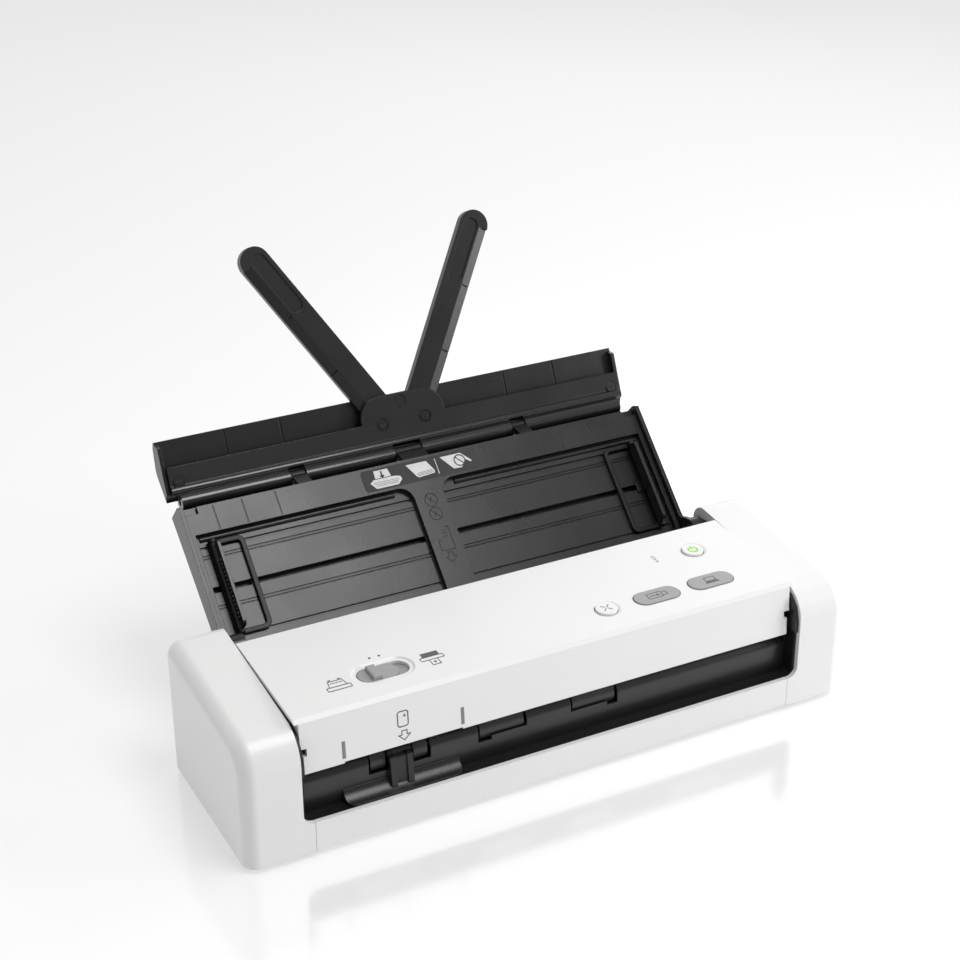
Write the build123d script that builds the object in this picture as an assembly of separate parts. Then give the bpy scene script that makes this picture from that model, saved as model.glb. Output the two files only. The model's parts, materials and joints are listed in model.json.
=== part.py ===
from build123d import *

import os
from math import atan2, cos, degrees, pi, radians, sin, sqrt

# Sheet fed document scanner, millimetres.
# X runs across the machine, -Y is the front where sheets come out, +Z is up.
# The body is drawn about the middle of its footprint and every piece is moved
# together at the end, so that the origin is the bottom centre of the bounding box.

# ---------------------------------------------------------------- driving dimensions
WIDTH = 300.0            # overall width
DEPTH = 90.8             # depth of the side covers
FOOT_HEIGHT = 2.5        # underside of the case above the table
WALL = 2.2               # case wall
THIN = 1.6               # inner sheet and moulding wall
GAP = 0.15               # seam between fixed neighbours
FRONT = -DEPTH / 2
BACK = DEPTH / 2

INNER = 124.0            # inner face of each side cover
SILL_HALF = 119.1        # half width of the front sill
SILL_TOP = 17.2          # height of the front sill
SILL_CORNER = 5.0        # inner corner radius of the exit opening
REAR_TOP = 39.0          # top of the rear cover, under the feed chute
LINER_TOP = 40.0         # top of the exit liner's end walls
TOP_HEIGHT = 64.0        # side cover top at y = 0
TOP_SLOPE = 0.09         # rise of the side cover top towards the back
NOSE_RADIUS = 15.0       # rounded top front of a side cover
TAIL_RADIUS = 8.0        # rounded top back of a side cover
EDGE_RADIUS = 6.5        # outer edges of a side cover

PANEL_HALF = 121.7       # half width of the control panel
PANEL_TOP_HALF = 123.5   # the top skin reaches out to the side covers
PANEL_BACK = (26.3, 66.4)
PANEL_CREASE = (-38.0, 63.5)
PANEL_LIP = (-40.0, 38.2)
BEVEL = 1.6              # bevel along the crease
COVER_PIVOT = (-36.0, 43.0)
COVER_PIN_RADIUS = 2.4

PATH_HEIGHT = 35.0       # top of the lower paper guide
GUIDE_FACE = -36.2       # front of the lower paper guide
GUIDE_ROUND = 6.0
FRAME_IN = 122.3         # side frames stand between these two planes
FRAME_OUT = 123.8

EJECT_AXIS = (-29.5, 29.5)
EJECT_RADIUS = 5.9
FEED_AXIS = (4.0, 30.4)
FEED_RADIUS = 5.0
PICKUP_Z = 24.4
PICKUP_RADIUS = 11.0
SHAFT_RADIUS = 2.0
PINCH_RADIUS = 3.5
PINCH_SHAFT = 1.5
NIP_GAP = 0.35           # sheet gap between a roller and its partner
WIDE_NOTCHES = ((-38.2, -14.2), (8.0, 32.0))
WIDE_NOTCH_DEPTH = 7.4
NARROW_NOTCH_DEPTH = 9.2
COLLAR_SLOTS = ((-38.2, -31.6), (26.6, 32.0))
CARD_X = -75.0           # middle of the card path
CARD_HALF = 27.5

GEAR_IN = 128.5          # gear train stands between these two planes
GEAR_OUT = 132.5
MODULE = 1.0
ROLLER_TEETH = 16
FRONT_IDLER_TEETH = 18
REAR_IDLER_TEETH = 10
PINION_TEETH = 10

LID_HINGE = (37.0, 57.5)
LID_TILT = 43.5          # tray angle above horizontal when open
LID_CLOSE = 138.0        # travel of the lid from open to shut
LID_HALF = 122.0
LID_PIN_RADIUS = 3.0
KNUCKLE_RADIUS = 6.0
RIM_V = -10.0            # rim of the lid, measured square to the tray
BAND_V = -12.7
FLOOR_V = -16.0
TRAY_END = 72.0
BAND_START = 58.6
SPINE = (-9.7, 5.7)      # the middle rib of the tray
SLOT_U = 32.3            # guide slot up the tray
SLOT_HALF = 1.4
RACK_TOP = -17.7
RACK_BOTTOM = -18.8
RACK_END = 13.0          # how far a rack reaches past the pinion

FLAP_HINGE = (78.5, -21.5)
FLAP_TILT = 22.5         # flap angle from the tray when open
FLAP_FOLD = 66.0
FLAP_BARREL = 4.0
FLAP_ROD_RADIUS = 1.5
FLAP_TOP = 29.3
FLAP_STEP = 16.9         # top edge of the flap's front plate
FLAP_SCREW_X = 115.6
FLAP_SCREW_A = 10.0
BOSS_HALF = 22.0
BOSS_ROUND = 11.0
TAB_SPANS = ((-8.8, 5.8), (-63.0, -55.0), (55.0, 63.0))

ARM_PIVOT = (11.35, 15.65)
ARM_OFFSET = 4.2         # centre line of an arm from its pivot
ARM_WIDTH = 15.0
ARM_REACH = 98.3         # pivot to the centre of the rounded tip
ARM_SPLAY = 30.5         # arm angle from the middle plane when open
ARM_BACK = -5.4
ARM_FRONT = -1.0
ARM_SCREW_RADIUS = 2.2

GUIDE_X = 109.5          # inner face of a document guide when wide open
GUIDE_TRAVEL = 82.0
GUIDE_START = 9.0
GUIDE_END = 55.0
GUIDE_LOOP = 15.0        # width of the flat loop
GUIDE_HEIGHT = 10.0
GUIDE_FOLD = 85.0        # plates lie down by this much as the lid shuts
GUIDE_PIN_RADIUS = 0.8
RUNNING = 0.05           # radial clearance of a turning fit
SEAT = 0.02              # radial clearance round a fixed pin or screw

POWER = (98.1, 6.9)
STOP = (35.1, -19.5)
USB_KEY = (61.2, -20.1)
PC_KEY = (90.4, -19.8)
ROUND_KEY = 5.1
LONG_KEY = (23.0, 10.4)
KEY_GAP = 0.35
KEY_PROUD = 0.5
KEY_TRAVEL = 0.8
SPRING_Y = 20.0          # separation pad spring
SPRING_SEAT = 43.01
SPRING_TOP = 53.0
SELECTOR = (-75.0, -19.7)
SELECTOR_WELL = (28.8, 15.4)
SELECTOR_WINDOW = (24.0, 10.6)
SELECTOR_PLATE = (18.5, 10.0)
SELECTOR_TRAVEL = 4.5
SELECTOR_X = SELECTOR[0] - SELECTOR_TRAVEL / 2


# ---------------------------------------------------------------- derived values
PANEL_SLOPE = (PANEL_BACK[1] - PANEL_CREASE[1]) / (PANEL_BACK[0] - PANEL_CREASE[0])
PANEL_ANGLE = degrees(atan2(PANEL_BACK[1] - PANEL_CREASE[1], PANEL_BACK[0] - PANEL_CREASE[0]))
GEAR_R = MODULE * ROLLER_TEETH / 2
FRONT_IDLER_R = MODULE * FRONT_IDLER_TEETH / 2
REAR_IDLER_R = MODULE * REAR_IDLER_TEETH / 2
PINION_R = MODULE * PINION_TEETH / 2
PICKUP_AXIS = (24.0, PICKUP_Z)

LID = Pos(0, LID_HINGE[0], LID_HINGE[1]) * Rot(LID_TILT, 0, 0)
FLAP = LID * Pos(0, FLAP_HINGE[0], FLAP_HINGE[1]) * Rot(FLAP_TILT, 0, 0)


def third_point(a, b, ra, rb, side):
    """Point at distance ra from a and rb from b, on the given side of the line a-b."""
    dy, dz = b[0] - a[0], b[1] - a[1]
    span = sqrt(dy * dy + dz * dz)
    along = (ra * ra - rb * rb + span * span) / (2 * span)
    off = side * sqrt(ra * ra - along * along)
    return (a[0] + (along * dy - off * dz) / span, a[1] + (along * dz + off * dy) / span)


FRONT_IDLER = third_point(EJECT_AXIS, FEED_AXIS, GEAR_R + FRONT_IDLER_R, GEAR_R + FRONT_IDLER_R, 1)
REAR_IDLER = third_point(FEED_AXIS, PICKUP_AXIS, GEAR_R + REAR_IDLER_R, GEAR_R + REAR_IDLER_R, -1)
MOTOR_AXIS = (FRONT_IDLER[0], FRONT_IDLER[1] - FRONT_IDLER_R - PINION_R)


# ---------------------------------------------------------------- small helpers
def block(x, y, z):
    """Box between the given (low, high) pairs."""
    size = (x[1] - x[0], y[1] - y[0], z[1] - z[0])
    return Pos((x[0] + x[1]) / 2, (y[0] + y[1]) / 2, (z[0] + z[1]) / 2) * Box(*size)


def prism(points, x0, x1):
    """Closed (y, z) outline extruded along X."""
    face = make_face(Polyline(*points, close=True))
    return extrude(Plane.YZ.offset(x0) * face, x1 - x0)


def prism_sketch(sketch, x0, x1):
    """Sketch drawn in (y, z), extruded along X."""
    return extrude(Plane.YZ.offset(x0) * sketch, x1 - x0)


def upright(sketch, z0, z1):
    """Sketch drawn in (x, y), extruded along Z."""
    return extrude(Plane.XY.offset(z0) * sketch, z1 - z0)


def bar(radius, x0, x1, axis):
    """Round bar along X about the (y, z) axis."""
    return Pos((x0 + x1) / 2, axis[0], axis[1]) * Rot(0, 90, 0) * Cylinder(radius, x1 - x0)


def peg(radius, x, y, z0, z1):
    """Round peg along Z."""
    return Pos(x, y, (z0 + z1) / 2) * Cylinder(radius, z1 - z0)


def mirrored(shape):
    return mirror(shape, Plane.YZ)


def joined(shapes):
    """Separate solids kept side by side in one node."""
    return Compound(children=[solid for shape in shapes for solid in shape.solids()])


def panel_z(y):
    return PANEL_BACK[1] + PANEL_SLOPE * (y - PANEL_BACK[0])


def panel_place(x, y):
    """Frame on the control panel's surface, Z square to it."""
    return Pos(x, y, panel_z(y)) * Rot(PANEL_ANGLE, 0, 0)


# ---------------------------------------------------------------- case
def side_outline(inset):
    """Side view of a side cover, shrunk by inset."""
    front = FRONT + inset
    back = BACK - inset
    low = FOOT_HEIGHT + inset
    top_front = TOP_HEIGHT + TOP_SLOPE * front - inset
    top_back = TOP_HEIGHT + TOP_SLOPE * back - inset
    face = make_face(Polyline((front, low), (back, low), (back, top_back), (front, top_front), close=True))
    corners = face.vertices().sort_by(Axis.Y)
    face = fillet(corners[-1], TAIL_RADIUS - inset)
    nose = face.vertices().sort_by(Axis.X)[:2].sort_by(Axis.Y)[-1]
    return fillet(nose, NOSE_RADIUS - inset)


def side_block(inset, x0):
    """Outer form of the right side cover, with its long outer edges rounded."""
    outer = WIDTH / 2 - inset
    body = prism_sketch(side_outline(inset), x0, outer)
    low = FOOT_HEIGHT + inset + 0.1
    rim = body.faces().sort_by(Axis.X)[-1].edges()
    keep = [edge for edge in rim if edge.center().Z > low]
    return fillet(keep, EDGE_RADIUS - inset)


def right_side_cover():
    body = side_block(0, SILL_HALF)
    inside = SILL_HALF - 1
    throat = make_face(Polyline((inside, SILL_TOP), (INNER, SILL_TOP), (INNER, 80), (inside, 80), close=True))
    throat = fillet(throat.vertices().sort_by(Axis.X)[-2:].sort_by(Axis.Y)[0], SILL_CORNER - 0.2)
    body -= extrude(Plane.XZ.offset(-BACK - 1) * throat, DEPTH + 2)
    body -= block((SILL_HALF - 1, INNER), (FRONT + WALL, BACK - WALL), (FOOT_HEIGHT + WALL, 80))
    body -= side_block(WALL, INNER + WALL)
    body -= block((INNER - 1, INNER + WALL + 1), (-35.5, 38.0), (8.0, 54.0))
    body -= bar(LID_PIN_RADIUS + SEAT, INNER - 1, INNER + WALL + 1, LID_HINGE)
    body -= bar(COVER_PIN_RADIUS + SEAT, INNER - 1, INNER + WALL + 1, COVER_PIVOT)
    return body


def bottom_cover():
    half = SILL_HALF - GAP
    low = FOOT_HEIGHT
    floor = block((-half, half), (FRONT, BACK), (low, low + WALL))
    sill = block((-half, half), (FRONT, FRONT + WALL), (low, SILL_TOP))
    heel = block((-half, half), (BACK - WALL, BACK), (low, 10.0))
    body = floor + sill + heel
    body = fillet(body.edges().filter_by(Axis.X).sort_by(Axis.Z)[:4].sort_by(Axis.Y)[0], 1.2)
    for x in (-80.0, -40.0, 0.0, 40.0, 80.0):
        body += block((x - 0.8, x + 0.8), (-42.0, 42.0), (low + WALL, low + WALL + 1.6))
    for x in (-108.0, 108.0):
        for y in (-26.0, 34.0):
            body += peg(3.0, x, y, low + WALL, 12.0)
            body -= peg(1.2 + SEAT, x, y, low - 1, 12.5)
            body -= peg(2.4, x, y, low - 1, low + 1.4)
    for x in range(-60, 61, 12):
        for y in (4.0, 12.0, 20.0):
            body -= block((x - 4.0, x + 4.0), (y - 0.8, y + 0.8), (low - 1, low + WALL + 3))
    return body


def rear_cover():
    half = SILL_HALF - GAP
    body = block((-half, half), (BACK - WALL, BACK), (10.0 + GAP, REAR_TOP))
    body += block((-half, half), (BACK - WALL - 1.4, BACK - WALL), (REAR_TOP - 2.0, REAR_TOP))
    body -= block((-96.0, -82.5), (BACK - WALL - 3, BACK + 1), (13.0, 18.6))
    body -= block((-72.0, -56.6), (BACK - WALL - 3, BACK + 1), (13.0, 21.4))
    for x in range(40, 105, 8):
        body -= block((x - 2.6, x + 2.6), (BACK - WALL - 3, BACK + 1), (16.0, 17.6))
        body -= block((x - 2.6, x + 2.6), (BACK - WALL - 3, BACK + 1), (20.0, 21.6))
    return body


def rubber_feet():
    feet = []
    for x in (-128.0, 128.0):
        for y in (-30.0, 30.0):
            pad = peg(6.0, x, y, 0.0, FOOT_HEIGHT)
            feet.append(fillet(pad.edges().sort_by(Axis.Z)[0], 0.6))
    return joined(feet)


def case_screws():
    screws = []
    for x in (-108.0, 108.0):
        for y in (-26.0, 34.0):
            head = peg(2.2, x, y, FOOT_HEIGHT + 0.2, FOOT_HEIGHT + 1.4)
            shank = peg(1.2, x, y, FOOT_HEIGHT + 1.4, 11.0)
            cross = block((x - 1.2, x + 1.2), (y - 0.3, y + 0.3), (FOOT_HEIGHT, FOOT_HEIGHT + 0.8))
            cross += block((x - 0.3, x + 0.3), (y - 1.2, y + 1.2), (FOOT_HEIGHT, FOOT_HEIGHT + 0.8))
            screws.append(head + shank - cross)
    return joined(screws)


def exit_liner():
    """Black textured trough between the sill and the lower paper guide."""
    inner = INNER - GAP
    front = FRONT + WALL + GAP
    back = GUIDE_FACE - GAP
    base = SILL_TOP - 1.6
    outside = make_face(
        Polyline((-inner, base), (inner, base), (inner, LINER_TOP), (-inner, LINER_TOP), close=True)
    )
    outside = fillet(outside.vertices().sort_by(Axis.Y)[:2], SILL_CORNER)
    skin = 1.3
    inside = make_face(
        Polyline((-inner + skin, base + skin), (inner - skin, base + skin), (inner - skin, LINER_TOP + 1),
                 (-inner + skin, LINER_TOP + 1), close=True)
    )
    inside = fillet(inside.vertices().sort_by(Axis.Y)[:2], SILL_CORNER - skin)
    ring = outside - inside
    return extrude(Plane.XZ.offset(-back) * ring, back - front)


def guide_notches():
    """(low, high) spans across X where rollers show in the lower paper guide."""
    return list(WIDE_NOTCHES) + [(CARD_X - 15.2, CARD_X - 5.8), (CARD_X + 4.9, CARD_X + 13.9)]


def lower_paper_guide():
    """Curved guide below the sheet, from the exit ridge back to the pick-up roller."""
    half = FRAME_IN - 0.4
    face = GUIDE_FACE
    top = PATH_HEIGHT
    r = GUIDE_ROUND
    wall = THIN
    end = 34.0
    outer = Line((face, SILL_TOP - 1.4), (face, top - r))
    bend = RadiusArc((face, top - r), (face + r, top), r)
    deck = Polyline((face + r, top), (end, top), (end, top - wall), (face + r, top - wall))
    under = RadiusArc((face + r, top - wall), (face + wall, top - r), -(r - wall))
    back = Polyline((face + wall, top - r), (face + wall, SILL_TOP - 1.4), (face, SILL_TOP - 1.4))
    profile = make_face(outer + bend + deck + under + back)
    body = prism_sketch(profile, -half, half)
    for low, high in guide_notches():
        depth = WIDE_NOTCH_DEPTH if high - low > 20 else NARROW_NOTCH_DEPTH
        body -= block((low, high), (face - 1, EJECT_AXIS[0] + 8.0), (top - depth, top + 1))
        body -= block((low, high), (face + 0.6, EJECT_AXIS[0] + 8.0), (top - 9.4, top + 1))
    for low, high in COLLAR_SLOTS:
        body -= block((low, high), (face - 1, EJECT_AXIS[0] + 8.0), (top - 9.4, top + 1))
    for low, high in feed_spans():
        body -= block((low - 1.5, high + 1.5), (FEED_AXIS[0] - 6, FEED_AXIS[0] + 6), (top - 3, top + 1))
    body -= block((-17.0, 17.0), (PICKUP_AXIS[0] - 12.5, end + 1), (top - 3, top + 1))
    body -= block((-110.2, 110.2), (-19.2, -4.8), (top - 3, top + 1))
    for x in range(-114, 115, 12):
        hidden = any(low - 2 < x < high + 2 for low, high in guide_notches())
        if not hidden:
            body += block((x - 0.5, x + 0.5), (face + wall, face + 4.0), (SILL_TOP, top - wall - 1.2))
    return body


def feed_spans():
    return [(-95.0, -75.0), (-45.0, -25.0), (25.0, 45.0), (75.0, 95.0)]


def feed_chute():
    """Sloping throat that takes sheets from the tray down to the pick-up roller."""
    half = FRAME_IN - 0.4
    start = 34.0 + GAP
    outline = [
        (start, PATH_HEIGHT), (47.0, 44.6), (48.0, 43.6), (BACK - 3.9, 39.2), (start, PATH_HEIGHT - THIN),
    ]
    body = prism(outline, -half, half)
    body -= block((-17.0, 17.0), (start - 1, 37.5), (PATH_HEIGHT - 6, PATH_HEIGHT + 8))
    for x in (-100.0, -66.0, -33.0, 33.0, 66.0, 100.0):
        rib = [(start, PATH_HEIGHT - 0.6), (46.0, 43.2), (46.0, 44.6), (start + 1.5, PATH_HEIGHT + 1.6)]
        body += prism(rib, x - 0.6, x + 0.6)
    return body


def side_frame():
    """Inner side frame, right hand."""
    outline = [
        (GUIDE_FACE, 5.5), (BACK - WALL - GAP, 5.5), (BACK - WALL - GAP, 50.0), (43.0, 61.0), (31.0, 63.0),
        (-20.0, 58.0), (-32.0, 59.2), (-38.2, 56.9), (-42.4, 52.4), (-44.2, 45.5), (-44.2, 40.3),
        (GUIDE_FACE, 40.3),
    ]
    body = prism(outline, FRAME_IN, FRAME_OUT)
    for axis in (EJECT_AXIS, FEED_AXIS, PICKUP_AXIS):
        body -= bar(SHAFT_RADIUS + RUNNING, FRAME_IN - 1, FRAME_OUT + 1, axis)
    body -= bar(LID_PIN_RADIUS + SEAT, FRAME_IN - 1, FRAME_OUT + 1, LID_HINGE)
    body -= bar(COVER_PIN_RADIUS + SEAT, FRAME_IN - 1, FRAME_OUT + 1, COVER_PIVOT)
    body -= bar(7.0, FRAME_IN - 1, FRAME_OUT + 1, (8.0, 14.0))
    return body


def card_guide():
    """Wedge that carries a plastic card into the exit slot, with its two ribs."""
    low = SILL_TOP - 0.1
    back = GUIDE_FACE - GAP
    face = Polyline((back, low + 5.6), (back, low), (-43.0, low), (-43.0, low + 1.0))
    hollow = RadiusArc((-43.0, low + 1.0), (back, low + 5.6), -9.0)
    plate = prism_sketch(make_face(face + hollow), CARD_X - CARD_HALF, CARD_X + CARD_HALF - 0.6)
    ends = plate.edges().filter_by(lambda e: abs(e.center().Y + 43.0) < 0.01 and abs(e.length - 1.0) < 0.01)
    body = fillet(ends, 4.0)
    for x in (CARD_X - 5.0, CARD_X + 2.9):
        rib = [(-40.4, low + 1.0), (-38.6, low + 15.5), (back, low + 16.4), (back, low + 1.0)]
        body += prism(rib, x - 1.3, x + 1.3)
    web = [(-39.2, low + 1.0), (-37.9, low + 14.6), (back, low + 15.4), (back, low + 1.0)]
    body += prism(web, CARD_X - 3.7, CARD_X + 1.6)
    return body


def scan_module(facing):
    """Contact image sensor bar, its glass side up (facing 1) or down (facing -1)."""
    low, high = (22.0, PATH_HEIGHT - 1.2) if facing > 0 else (PATH_HEIGHT + 3.2, 50.0)
    body = block((-110.0, 110.0), (-19.0, -5.0), (low, high))
    mouth = (high - 2.0, high + 1) if facing > 0 else (low - 1, low + 2.0)
    body -= block((-108.5, 108.5), (-15.5, -8.5), mouth)
    for x in (-104.0, 104.0):
        side = (-21.5, -19.0) if x < 0 else (-5.0, -2.5)
        body += block((x - 4, x + 4), side, (low + 2, low + 6))
    return body


def scan_glass(facing):
    low, high = (PATH_HEIGHT - 1.2, PATH_HEIGHT) if facing > 0 else (PATH_HEIGHT + 2.0, PATH_HEIGHT + 3.2)
    return block((-109.5, 109.5), (-18.5, -5.5), (low, high))


def main_board():
    body = block((-100.0, 60.0), (-34.0, 10.0), (8.6, 10.2))
    for x in (-70.0, -30.0, 10.0):
        body += block((x, x + 14.0), (-26.0, -12.0), (10.2, 12.4))
    body += block((30.0, 52.0), (-30.0, -24.0), (10.2, 16.0))
    for x in (-90.0, -80.0, -70.0):
        body += peg(3.0, x, 2.0, 10.2, 18.0)
    for x in (-96.0, 56.0):
        for y in (-30.0, 6.0):
            body += peg(2.5, x, y, FOOT_HEIGHT + WALL + 2.4, 8.6)
    return body


def socket(x0, x1, z0, z1):
    """Metal shell of a data socket, open to the back."""
    shell = block((x0, x1), (BACK - 16.0, BACK - 0.4), (z0, z1))
    mouth = block((x0 + 0.6, x1 - 0.6), (BACK - 12.0, BACK + 1), (z0 + 0.6, z1 - 0.6))
    middle = (z0 + z1) / 2
    tongue = block((x0 + 1.6, x1 - 1.6), (BACK - 12.0, BACK - 2.0), (middle - 0.9, middle + 0.9))
    return shell - mouth + tongue


def drive_motor():
    can = bar(12.0, GEAR_OUT + 3.0, WIDTH / 2 - WALL - 1.0, MOTOR_AXIS)
    nose = bar(3.5, GEAR_OUT + 1.5, GEAR_OUT + 3.0, MOTOR_AXIS)
    ears = block((GEAR_OUT + 3.0, GEAR_OUT + 4.2), (MOTOR_AXIS[0] - 17, MOTOR_AXIS[0] + 17),
                 (MOTOR_AXIS[1] - 4, MOTOR_AXIS[1] + 4))
    return can + nose + ears - bar(1.0 + RUNNING, GEAR_OUT, WIDTH / 2 - 8, MOTOR_AXIS)


def gear_posts():
    """Fixed posts that the two idler gears turn on."""
    posts = []
    for axis in (FRONT_IDLER, REAR_IDLER):
        posts.append(bar(1.5, INNER - GAP, GEAR_OUT + 1.0, axis) + bar(3.0, INNER - GAP, GEAR_IN - 0.5, axis))
    return joined(posts)


# ---------------------------------------------------------------- gears
def tooth_ring(teeth, phase, addendum=0.85, dedendum=1.1, fill=0.42):
    """Gear outline as (angle, radius) corners, with a tooth centred on the phase angle."""
    pitch = MODULE * teeth / 2
    step = 2 * pi / teeth
    tip = pitch + addendum * MODULE
    root = pitch - dedendum * MODULE
    half = step * fill / 2
    points = []
    for k in range(teeth):
        mid = radians(phase) + k * step
        corners = ((root, -half * 1.5), (tip, -half * 0.45), (tip, half * 0.45), (root, half * 1.5))
        for radius, angle in corners:
            points.append((radius * cos(mid + angle), radius * sin(mid + angle)))
    return points


def gear_bar(teeth, axis, phase, bore):
    """Spur gear along X in the gear train's plane."""
    ring = make_face(Polyline(*tooth_ring(teeth, phase), close=True))
    disc = Pos(0, axis[0], axis[1]) * prism_sketch(ring, GEAR_IN, GEAR_OUT)
    return disc - bar(bore, GEAR_IN - 1, GEAR_OUT + 1, axis)


def mesh_phase(first, first_teeth, first_phase, second, teeth):
    """Phase of a second gear that puts it in mesh with the first."""
    line = degrees(atan2(second[1] - first[1], second[0] - first[0]))
    share = (line - first_phase) * first_teeth / 360.0
    return line + 180.0 - (0.5 - share) * 360.0 / teeth


EJECT_PHASE = 0.0
FRONT_IDLER_PHASE = mesh_phase(EJECT_AXIS, ROLLER_TEETH, EJECT_PHASE, FRONT_IDLER, FRONT_IDLER_TEETH)
FEED_PHASE = mesh_phase(FRONT_IDLER, FRONT_IDLER_TEETH, FRONT_IDLER_PHASE, FEED_AXIS, ROLLER_TEETH)
REAR_IDLER_PHASE = mesh_phase(FEED_AXIS, ROLLER_TEETH, FEED_PHASE, REAR_IDLER, REAR_IDLER_TEETH)
PICKUP_PHASE = mesh_phase(REAR_IDLER, REAR_IDLER_TEETH, REAR_IDLER_PHASE, PICKUP_AXIS, ROLLER_TEETH)
PINION_PHASE = mesh_phase(FRONT_IDLER, FRONT_IDLER_TEETH, FRONT_IDLER_PHASE, MOTOR_AXIS, PINION_TEETH)


# ---------------------------------------------------------------- rollers
def roller_shaft(axis):
    return bar(SHAFT_RADIUS, -FRAME_OUT - 1.0, GEAR_OUT + 1.0, axis)


def roller_tubes(axis, radius, spans):
    """Rubber sleeves on a shaft."""
    tubes = []
    for low, high in spans:
        tube = bar(radius, low, high, axis) - bar(SHAFT_RADIUS, low - 1, high + 1, axis)
        tubes.append(tube)
    return joined(tubes)


def eject_spans():
    return [(low + 1.2, high - 1.2) for low, high in guide_notches()]


def pickup_roller():
    hub = bar(5.0, -14.0, 14.0, PICKUP_AXIS) - bar(SHAFT_RADIUS, -15.0, 15.0, PICKUP_AXIS)
    tyre = bar(PICKUP_RADIUS, -13.0, 13.0, PICKUP_AXIS) - bar(5.0, -15.0, 15.0, PICKUP_AXIS)
    for k in range(24):
        turn = 2 * pi * k / 24
        groove = (PICKUP_AXIS[0] + PICKUP_RADIUS * cos(turn), PICKUP_AXIS[1] + PICKUP_RADIUS * sin(turn))
        tyre -= bar(0.5, -14.0, 14.0, groove)
    return hub, tyre


def pinch_axis(axis, radius):
    return (axis[0], axis[1] + radius + NIP_GAP + PINCH_RADIUS)


def pinch_rollers(axis, radius, spans):
    centre = pinch_axis(axis, radius)
    shaft = bar(PINCH_SHAFT, -112.0, 112.0, centre)
    for low, high in spans:
        shaft += bar(PINCH_RADIUS, low + 1.0, high - 1.0, centre)
    return shaft


def top_eject_spans():
    return [(-35.0, -11.0), (11.0, 35.0), (-95.0, -65.0), (65.0, 95.0)]


# ---------------------------------------------------------------- front cover
def bevelled_crease():
    """The two (y, z) corners of the bevel between the panel and the front face."""
    lean = (PANEL_LIP[0] - PANEL_CREASE[0]) / (PANEL_CREASE[1] - PANEL_LIP[1])
    top = (PANEL_CREASE[0] + BEVEL, panel_z(PANEL_CREASE[0] + BEVEL))
    front = (PANEL_CREASE[0] + lean * BEVEL, PANEL_CREASE[1] - BEVEL)
    return top, front


def stadium(length, height):
    return SlotOverall(length, height)


def top_panel():
    """White control panel with the front face, one moulding."""
    back, crease, lip = PANEL_BACK, PANEL_CREASE, PANEL_LIP
    top, front = bevelled_crease()
    body = prism([back, top, front, lip, (back[0], 52.0)], -PANEL_HALF, PANEL_HALF)
    skin = [back, top, front, (back[0], back[1] - THIN)]
    body += prism(skin, -PANEL_TOP_HALF, PANEL_TOP_HALF)
    hollow = prism(
        [(back[0] - WALL, back[1] - WALL), (crease[0] + WALL, crease[1] - WALL), (lip[0] + WALL, lip[1] - 1),
         (back[0] - WALL, lip[1] - 1)],
        -PANEL_HALF + WALL, PANEL_HALF - WALL,
    )
    body -= hollow
    for side in (-1, 1):
        for step, low in ((1.2, 36.0), (2.8, 46.4)):
            x = sorted((side * (PANEL_HALF - step), side * (PANEL_HALF + 1)))
            body -= block(x, (-45.0, -30.0), (low, 50.0))
    card_mouth = [(-41.0, 37.0), (-41.0, 38.9), (-36.0, 38.9), (-36.0, 37.0)]
    body -= prism(card_mouth, CARD_X - CARD_HALF, CARD_X + CARD_HALF)
    for spot in (POWER, STOP):
        body -= panel_place(*spot) * Cylinder(ROUND_KEY + KEY_GAP, 8.0)
        body -= panel_place(*spot) * Pos(0, 0, -0.3) * Cone(ROUND_KEY + KEY_GAP, ROUND_KEY + 1.5, 0.62)
    for spot in (USB_KEY, PC_KEY):
        outline = stadium(LONG_KEY[0] + 2 * KEY_GAP, LONG_KEY[1] + 2 * KEY_GAP)
        body -= panel_place(*spot) * extrude(Plane.XY * outline, 4.0, both=True)
    rim = Plane.XY.offset(0.01) * stadium(*SELECTOR_WELL)
    seat = Plane.XY.offset(-0.7) * stadium(SELECTOR_WELL[0] - 1.8, SELECTOR_WELL[1] - 1.8)
    body -= panel_place(*SELECTOR) * loft([rim, seat])
    window = extrude(Plane.XY * stadium(*SELECTOR_WINDOW), 4.0, both=True)
    body -= panel_place(*SELECTOR) * window
    body += peg(3.6, 0, SPRING_Y, SPRING_TOP + 0.02, panel_z(SPRING_Y) - 1.0)
    return body - cover_pin_space()


def cover_pin_space():
    """Clear bore for the two pivot pins in the ends of the front cover."""
    space = None
    for side in (-1, 1):
        x = sorted((side * 113.0, side * (PANEL_HALF + 1)))
        piece = bar(COVER_PIN_RADIUS + RUNNING, x[0], x[1], COVER_PIVOT)
        space = piece if space is None else space + piece
    return space


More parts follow.
